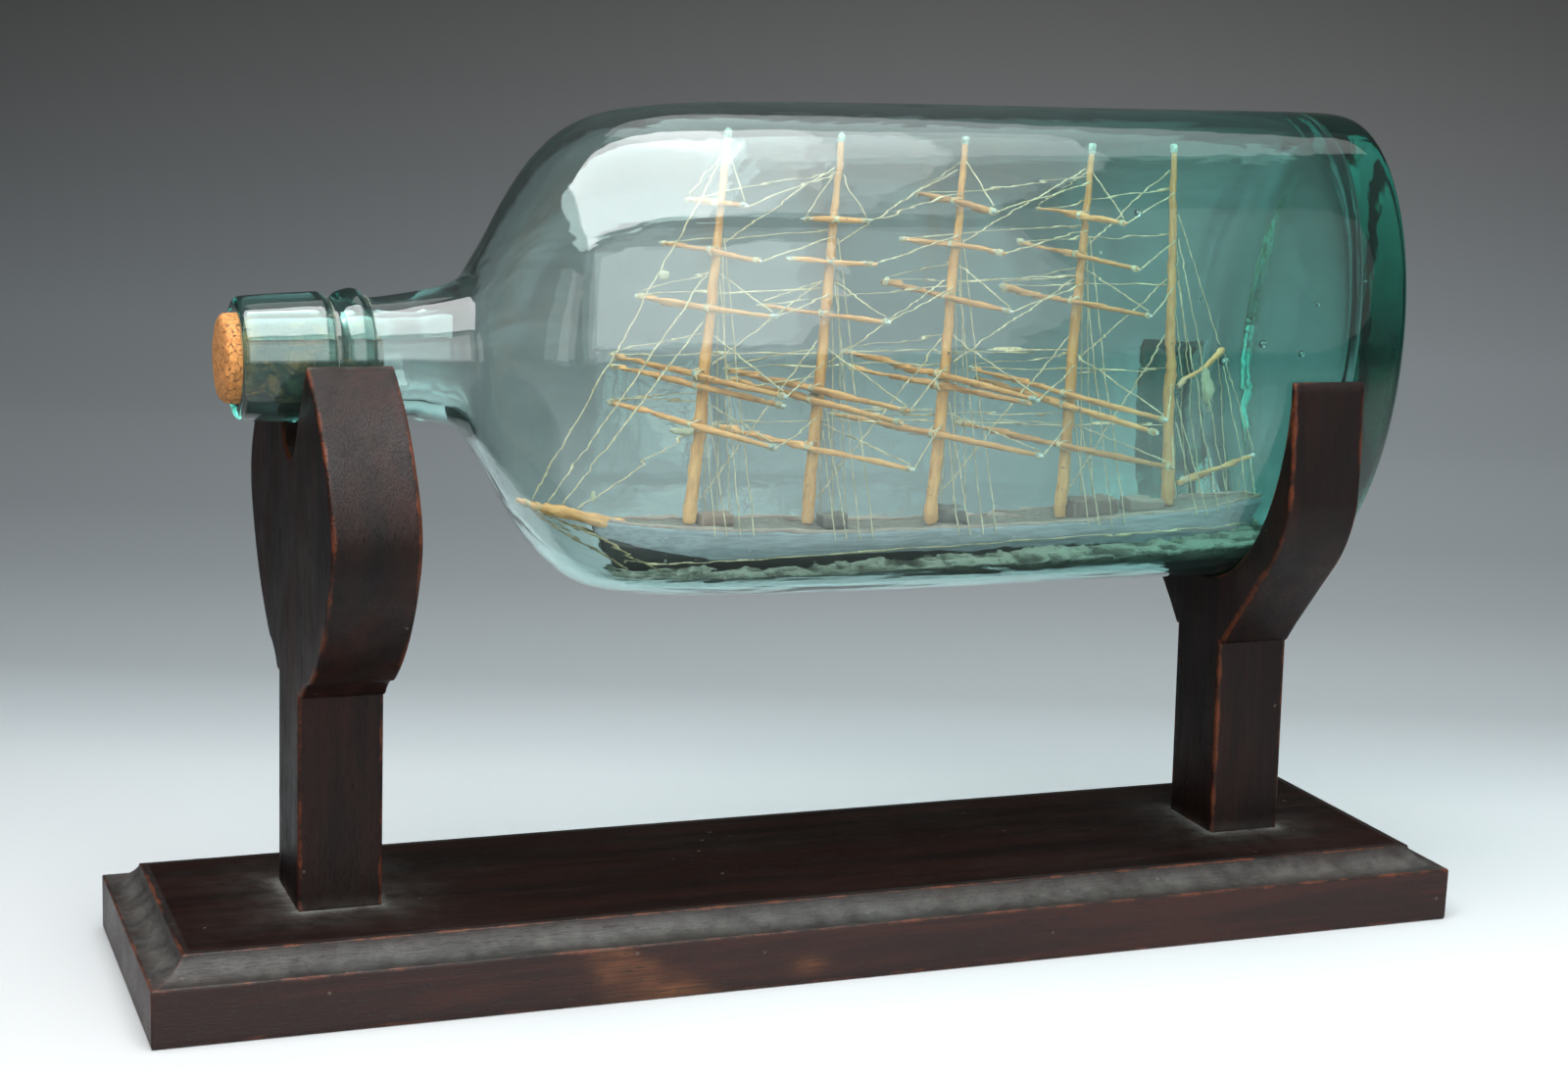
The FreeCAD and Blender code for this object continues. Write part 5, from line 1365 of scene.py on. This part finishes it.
def bindings():
    """Lashings at the slings, windings and glue at the yard arms, and windings on the bowsprit."""
    loops, blobs = [], []
    lines = {mast: mast_line(mast) for mast in MASTS}
    for k, (mast, level, far, near, radius) in enumerate(YARD_ENDS):
        foot, head = lines[mast]
        sling = (far + near) / 2
        t = (sling[2] - foot[2]) / (head[2] - foot[2])
        on_mast = foot + (head - foot) * t
        toward = unit(sling - on_mast)
        gap = np.linalg.norm(sling - on_mast)
        along = unit(near - far)
        upward = unit(head - foot)
        mast_r = 1.9 - 1.05 * t
        centre = on_mast + toward * (gap + radius - mast_r) / 2
        reach = (gap + radius + mast_r) / 2 + 0.16
        width = max(radius, mast_r) + 0.25
        for j, lean in enumerate((0.75, -0.75, 0.9, -0.9)):
            way = unit(along * abs(lean) + upward * lean)
            shift = along * (0.22 * (j - 1.5))
            loops.append(lashing(centre + shift, toward, way, reach, width, 0.17, k * 5 + j))
        for which, (end, inward) in enumerate(((far, along), (near, -along))):
            r_end = (0.5 if level in LIGHT_LEVELS else 0.6) + 0.15
            turns = 3 + (k * 7 + which) % 3
            loops.append(coil(end + inward * 1.1, inward, r_end + 0.1, turns, 0.42, 0.16, k + 0.5))
            draw = np.random.default_rng(500 + 2 * k + which).random(4)
            size = 0.42 + 0.35 * draw[0]
            stretch = np.abs(inward) * (0.7 + 1.1 * draw[1]) * size + size
            centre_of_drop = end + inward * (1.0 + 2.4 * draw[2]) + np.array([0, 0, 0.15])
            blobs.append(pebble(centre_of_drop, stretch * 0.85, int(draw[3] * 50), 7, 10, 0.38))
        draw = np.random.default_rng(700 + k).random(3)
        if draw[0] > 0.35:
            centre_of_drop = sling + toward * radius * 0.6 + upward * (draw[1] - 0.4)
            blobs.append(pebble(centre_of_drop, (0.7, 0.7, 0.55), k, 7, 10, 0.4))
    low, high, _, _ = lines_of("bowsprit")[0]
    tip, heel = (low, high) if low[0] < high[0] else (high, low)
    way = unit(heel - tip)
    loops.append(coil(tip + way * 2.2, way, 1.22, 4, 0.5, 0.2, 1.0))
    loops.append(coil(tip + way * 6.2, way, 1.42, 2, 0.7, 0.2, 2.0))
    piece("lashings", gather(loops), TWINE, "bottle")
    piece("glue_drops", gather(blobs), GLUE, "bottle")


def truck_beads():
    """Pale bead of two lumps on the head of each mast."""
    lines = [mast_line(mast) for mast in MASTS]
    beads = []
    for k, (low, high, _, _) in enumerate(lines_of("mast_trucks")):
        centre = (low + high) / 2
        foot, head = min(lines, key=lambda line: np.linalg.norm(line[1] - centre))
        way = unit(head - foot)
        beads.append(pebble(head + way * 1.2, (1.15, 1.15, 1.2), k * 9 + 2, 9, 14, 0.16))
        beads.append(pebble(head + way * 0.1, (1.05, 1.05, 0.7), k * 9 + 5, 7, 12, 0.2))
    piece("truck_beads", gather(beads), BEAD, "bottle", ["mast_trucks"])


def ensign():
    """Frayed scrap hanging from the gaff: a thin ragged sheet with a slow wave, and stray fibres."""
    low, high = (np.array(v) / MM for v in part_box("ensign"))
    top = np.array([low[0] + 1.6, (low[1] + high[1]) / 2, high[2] - 0.3])
    drop = np.array([(high[0] - low[0] - 4.0) * 0.35, 0.0, -(high[2] - low[2]) + 0.8])
    v = np.linspace(0, 1, 34)
    sides = 20
    a = around(sides)
    centre = top + drop * v[:, None]
    width = np.interp(v, [0, 0.1, 0.5, 0.85, 1.0], [0.5, 1.5, 2.0, 1.5, 0.5])
    width = width * (1 + 0.18 * ripple(v * 9, 1, 95))
    x = centre[:, :1] + width[:, None] * np.cos(a) * (1 + 0.12 * ripple(v[:, None] * 16, a * 1.5, 96))
    thick = 0.34 * (1 + 0.6 * ripple(v[:, None] * 12, a * 2, 97))
    y = centre[:, 1:2] + thick * np.sin(a) + 0.35 * np.sin(v * 7)[:, None]
    z = np.broadcast_to(centre[:, 2:], x.shape)
    shells = [skin(np.stack([x, y, z], -1))]
    for k in range(26):
        draw = np.random.default_rng(900 + k).random(5)
        at = top + drop * draw[0] + np.array([(draw[1] - 0.5) * 3.2, (draw[2] - 0.5) * 0.5, 0])
        to = at + np.array([(draw[3] - 0.5) * 2.0, (draw[4] - 0.5) * 0.8, -1.6 - draw[1]])
        shells.append(thread(at, to, 0.09, k))
    piece("ensign_scrap", gather(shells), CLOTH, "bottle", ["ensign"])


def scraps():
    """Bits that came loose inside: three pale flakes caught in the forward rigging."""
    flakes = [pebble((-41.5, -6.0, 146.5), (3.2, 0.5, 1.1), 3, 8, 12, 0.35),
              pebble((-66.0, -8.0, 130.0), (0.7, 0.4, 1.4), 8, 7, 10, 0.35),
              pebble((-48.5, -9.0, 189.0), (1.5, 0.4, 1.3), 12, 7, 10, 0.3)]
    piece("loose_flakes", gather(flakes), CLOTH, "bottle")


base_board()
posts()
bottle()
seeds()
residue()
cork()
hull()
rails()
for house_name in HOUSE_PAINTS:
    house(house_name)
sea()
masts()
yards()
other_spars()
threads("fore_and_aft_stays", TWINE, 0.21)
for mast_name in MASTS:
    threads(mast_name + "_shrouds", TWINE, 0.17)
threads("yard_lifts", TWINE, 0.19)
threads("yard_braces", TWINE, 0.20)
threads("spanker_rigging", TWINE, 0.18)
threads("hull_line", TWINE, 0.2)
threads("bobstays", STOUT_TWINE, 0.27)
bindings()
truck_beads()
ensign()
scraps()

# ---------------------------------------------------------------- studio

def sweep_cloth():
    """Pale floor that runs back and rises in a wide curve, with painted light and shade laid along it from
    the stops below.

    It is painted darker to both sides as shade, and a little more so on the left.
    """
    material, tree, principled = new_material("sweep_painted_light")
    uv = node(tree, "SeparateXYZ", {0: node(tree, "TexCoord").outputs["UV"]}).outputs
    ramp = node(tree, "ValToRGB", {0: uv[1]})
    while len(ramp.color_ramp.elements) < len(SWEEP_PAINTED_LIGHT):
        ramp.color_ramp.elements.new(0.5)
    # the paleness and coolness set here are painted light and shade
    for element, (at, grey, painted_cool) in zip(ramp.color_ramp.elements, SWEEP_PAINTED_LIGHT):
        element.position = (at - SWEEP_START) / SWEEP_LENGTH
        element.color = (grey * (1 - 0.1 * painted_cool), grey, grey * (1 + 0.045 * painted_cool), 1.0)
    sideways = times(tree, uv[0], uv[0])
    # painted shade: the floor darker to both sides, more so on the left
    painted_side_shade = plus(tree, times(tree, sideways, 0.45), ranged(tree, uv[0], -0.4, 0.3, 0.28, 0.0), clamp=True)
    colour = blend(tree, painted_side_shade, ramp.outputs[0], (0.0, 0.0, 0.0))
    tree.links.new(colour, principled.inputs["Base Color"])
    principled.inputs["Roughness"].default_value = 0.85
    principled.inputs["Specular IOR Level"].default_value = 0.1
    front_end, flat_end, bend_r, wall_top, paint_half = 3.0, 0.9, 1.2, 3.2, 1.1
    bend = np.linspace(0, np.pi / 2, 40)
    flat = np.concatenate([[-front_end, SWEEP_START], np.linspace(-0.6, flat_end, 40)[:-1]])
    curve = np.column_stack([flat_end + bend_r * np.sin(bend), bend_r - bend_r * np.cos(bend)])
    wall = [(flat_end + bend_r, wall_top)]
    run = np.concatenate([np.column_stack([flat, np.zeros(len(flat))]), curve, wall])
    along = np.concatenate([[0], np.cumsum(np.hypot(*np.diff(run, axis=0).T))]) - front_end
    xs = np.array([-5.0, -1.6, -0.8, 0.0, 0.8, 1.6, 5.0])
    n = len(run)
    points = np.concatenate([np.column_stack([np.full(n, x), run]) for x in xs])
    i, k = np.meshgrid(np.arange(n - 1), np.arange(len(xs) - 1), indexing="ij")
    first = (k * n + i).ravel()
    faces = np.stack([first, first + n, first + n + 1, first + 1], -1)
    mesh = bpy.data.meshes.new("sweep")
    mesh.from_pydata(points.tolist(), [], faces.tolist())
    u = np.repeat(np.clip(xs / paint_half, -1.5, 1.5), n)
    v = np.tile(np.clip((along - SWEEP_START) / SWEEP_LENGTH, 0, 1), len(xs))
    uvs = np.column_stack([u, v])
    mesh.uv_layers.new(name="UVMap").uv.foreach_set("vector", uvs[faces.ravel()].astype(np.float32).ravel())
    mesh.polygons.foreach_set("use_smooth", np.full(len(faces), True))
    mesh.materials.append(material)
    cloth = bpy.data.objects.new("sweep", mesh)
    bpy.context.scene.collection.objects.link(cloth)
    cloth.data.transform(Matrix.Rotation(math.radians(-21.3), 4, "Z"))


def lamp(name, place, aim, width, height, power, colour=(1.0, 1.0, 1.0)):
    """Soft rectangular lamp turned towards a point."""
    light = bpy.data.lights.new(name, "AREA")
    light.shape = "RECTANGLE"
    light.size, light.size_y = width, height
    light.energy = power
    light.color = colour
    made = bpy.data.objects.new(name, light)
    made.location = place
    made.rotation_euler = (Vector(aim) - Vector(place)).to_track_quat("-Z", "Y").to_euler()
    bpy.context.scene.collection.objects.link(made)


def camera():
    """Camera from the front left and a little above, rolled by two degrees."""
    turn, rise, roll = math.radians(-21.315), math.radians(11.387), math.radians(2.136)
    back = Vector((math.sin(turn) * math.cos(rise), -math.cos(turn) * math.cos(rise), math.sin(rise)))
    x = Vector((0, 0, 1)).cross(back).normalized()
    y = back.cross(x)
    c, s = math.cos(roll), math.sin(roll)
    axes = Matrix((x * c + y * s, y * c - x * s, back)).transposed()
    lens = bpy.data.cameras.new("camera")
    lens.lens = 62.608
    lens.sensor_width = 36.0
    lens.clip_start = 0.01
    made = bpy.data.objects.new("camera", lens)
    place = Vector((-0.280172, -0.698188, 0.264854))
    made.matrix_world = Matrix.Translation(place) @ axes.to_4x4()
    bpy.context.scene.collection.objects.link(made)
    bpy.context.scene.camera = made


# distance along the sweep from below the object's middle, in metres, its paleness and its coolness there,
# painted in as the light and shade along it
SWEEP_START, SWEEP_LENGTH = -1.2, 4.0
SWEEP_PAINTED_LIGHT = [(-1.2, 0.10, 0.3), (-0.8, 0.14, 0.3), (-0.45, 0.24, 0.3), (-0.25, 0.42, 0.3),
               (-0.15, 0.54, 0.3), (-0.05, 0.51, 0.4), (0.04, 0.49, 0.6), (0.14, 0.44, 0.8),
               (0.19, 0.37, 1.0), (0.27, 0.27, 1.0), (0.45, 0.22, 1.0), (0.6, 0.215, 1.0),
               (0.86, 0.265, 1.0), (1.14, 0.26, 1.0), (1.33, 0.215, 0.8), (1.62, 0.145, 0.1),
               (1.75, 0.112, 0.0)]
# the overhead softbox: reach to the left, depth and height in metres, and the right end and
# radiance of each panel
SOFTBOX_LEFT, SOFTBOX_DEPTH, SOFTBOX_Z = 0.9, 1.1, 1.14
SOFTBOX_STEPS = [(0.26, 3.9), (0.36, 2.1), (0.46, 1.5), (0.58, 1.2)]
sweep_cloth()
# its panels lie over each other from the same left end, so that it fades towards the right
for panel, (reach, glow) in enumerate(SOFTBOX_STEPS):
    middle = (reach - SOFTBOX_LEFT) / 2
    width = reach + SOFTBOX_LEFT
    lamp("overhead_softbox_%d" % panel, (middle, -0.28, SOFTBOX_Z + 0.01 * panel), (middle, -0.16, 0.16),
         width, SOFTBOX_DEPTH, glow * math.pi * width * SOFTBOX_DEPTH)
lamp("front_card", (-0.1, -1.6, 0.75), (0.0, 0.0, 0.2), 1.5, 1.1, 12.0)
lamp("wide_front_card", (-0.1, -1.9, 0.9), (0.0, 0.0, 0.2), 2.4, 1.7, 14.0)
lamp("front_wall", (0.1, -2.3, 1.2), (0.05, 0.0, 0.2), 3.6, 2.6, 13.0)
lamp("side_card", (-1.35, -1.05, 0.55), (-0.06, 0.0, 0.18), 0.45, 1.0, 2.2)
lamp("floor_light", (0.55, 0.5, 1.9), (0.1, 0.2, 0.0), 1.6, 1.0, 7.0)
world = bpy.data.worlds.new("studio")
world.use_nodes = True
world.node_tree.nodes["Background"].inputs["Color"].default_value = (0.92, 0.96, 1.0, 1.0)
world.node_tree.nodes["Background"].inputs["Strength"].default_value = 0.08
bpy.context.scene.world = world
bpy.context.scene.view_settings.view_transform = "Standard"
camera()
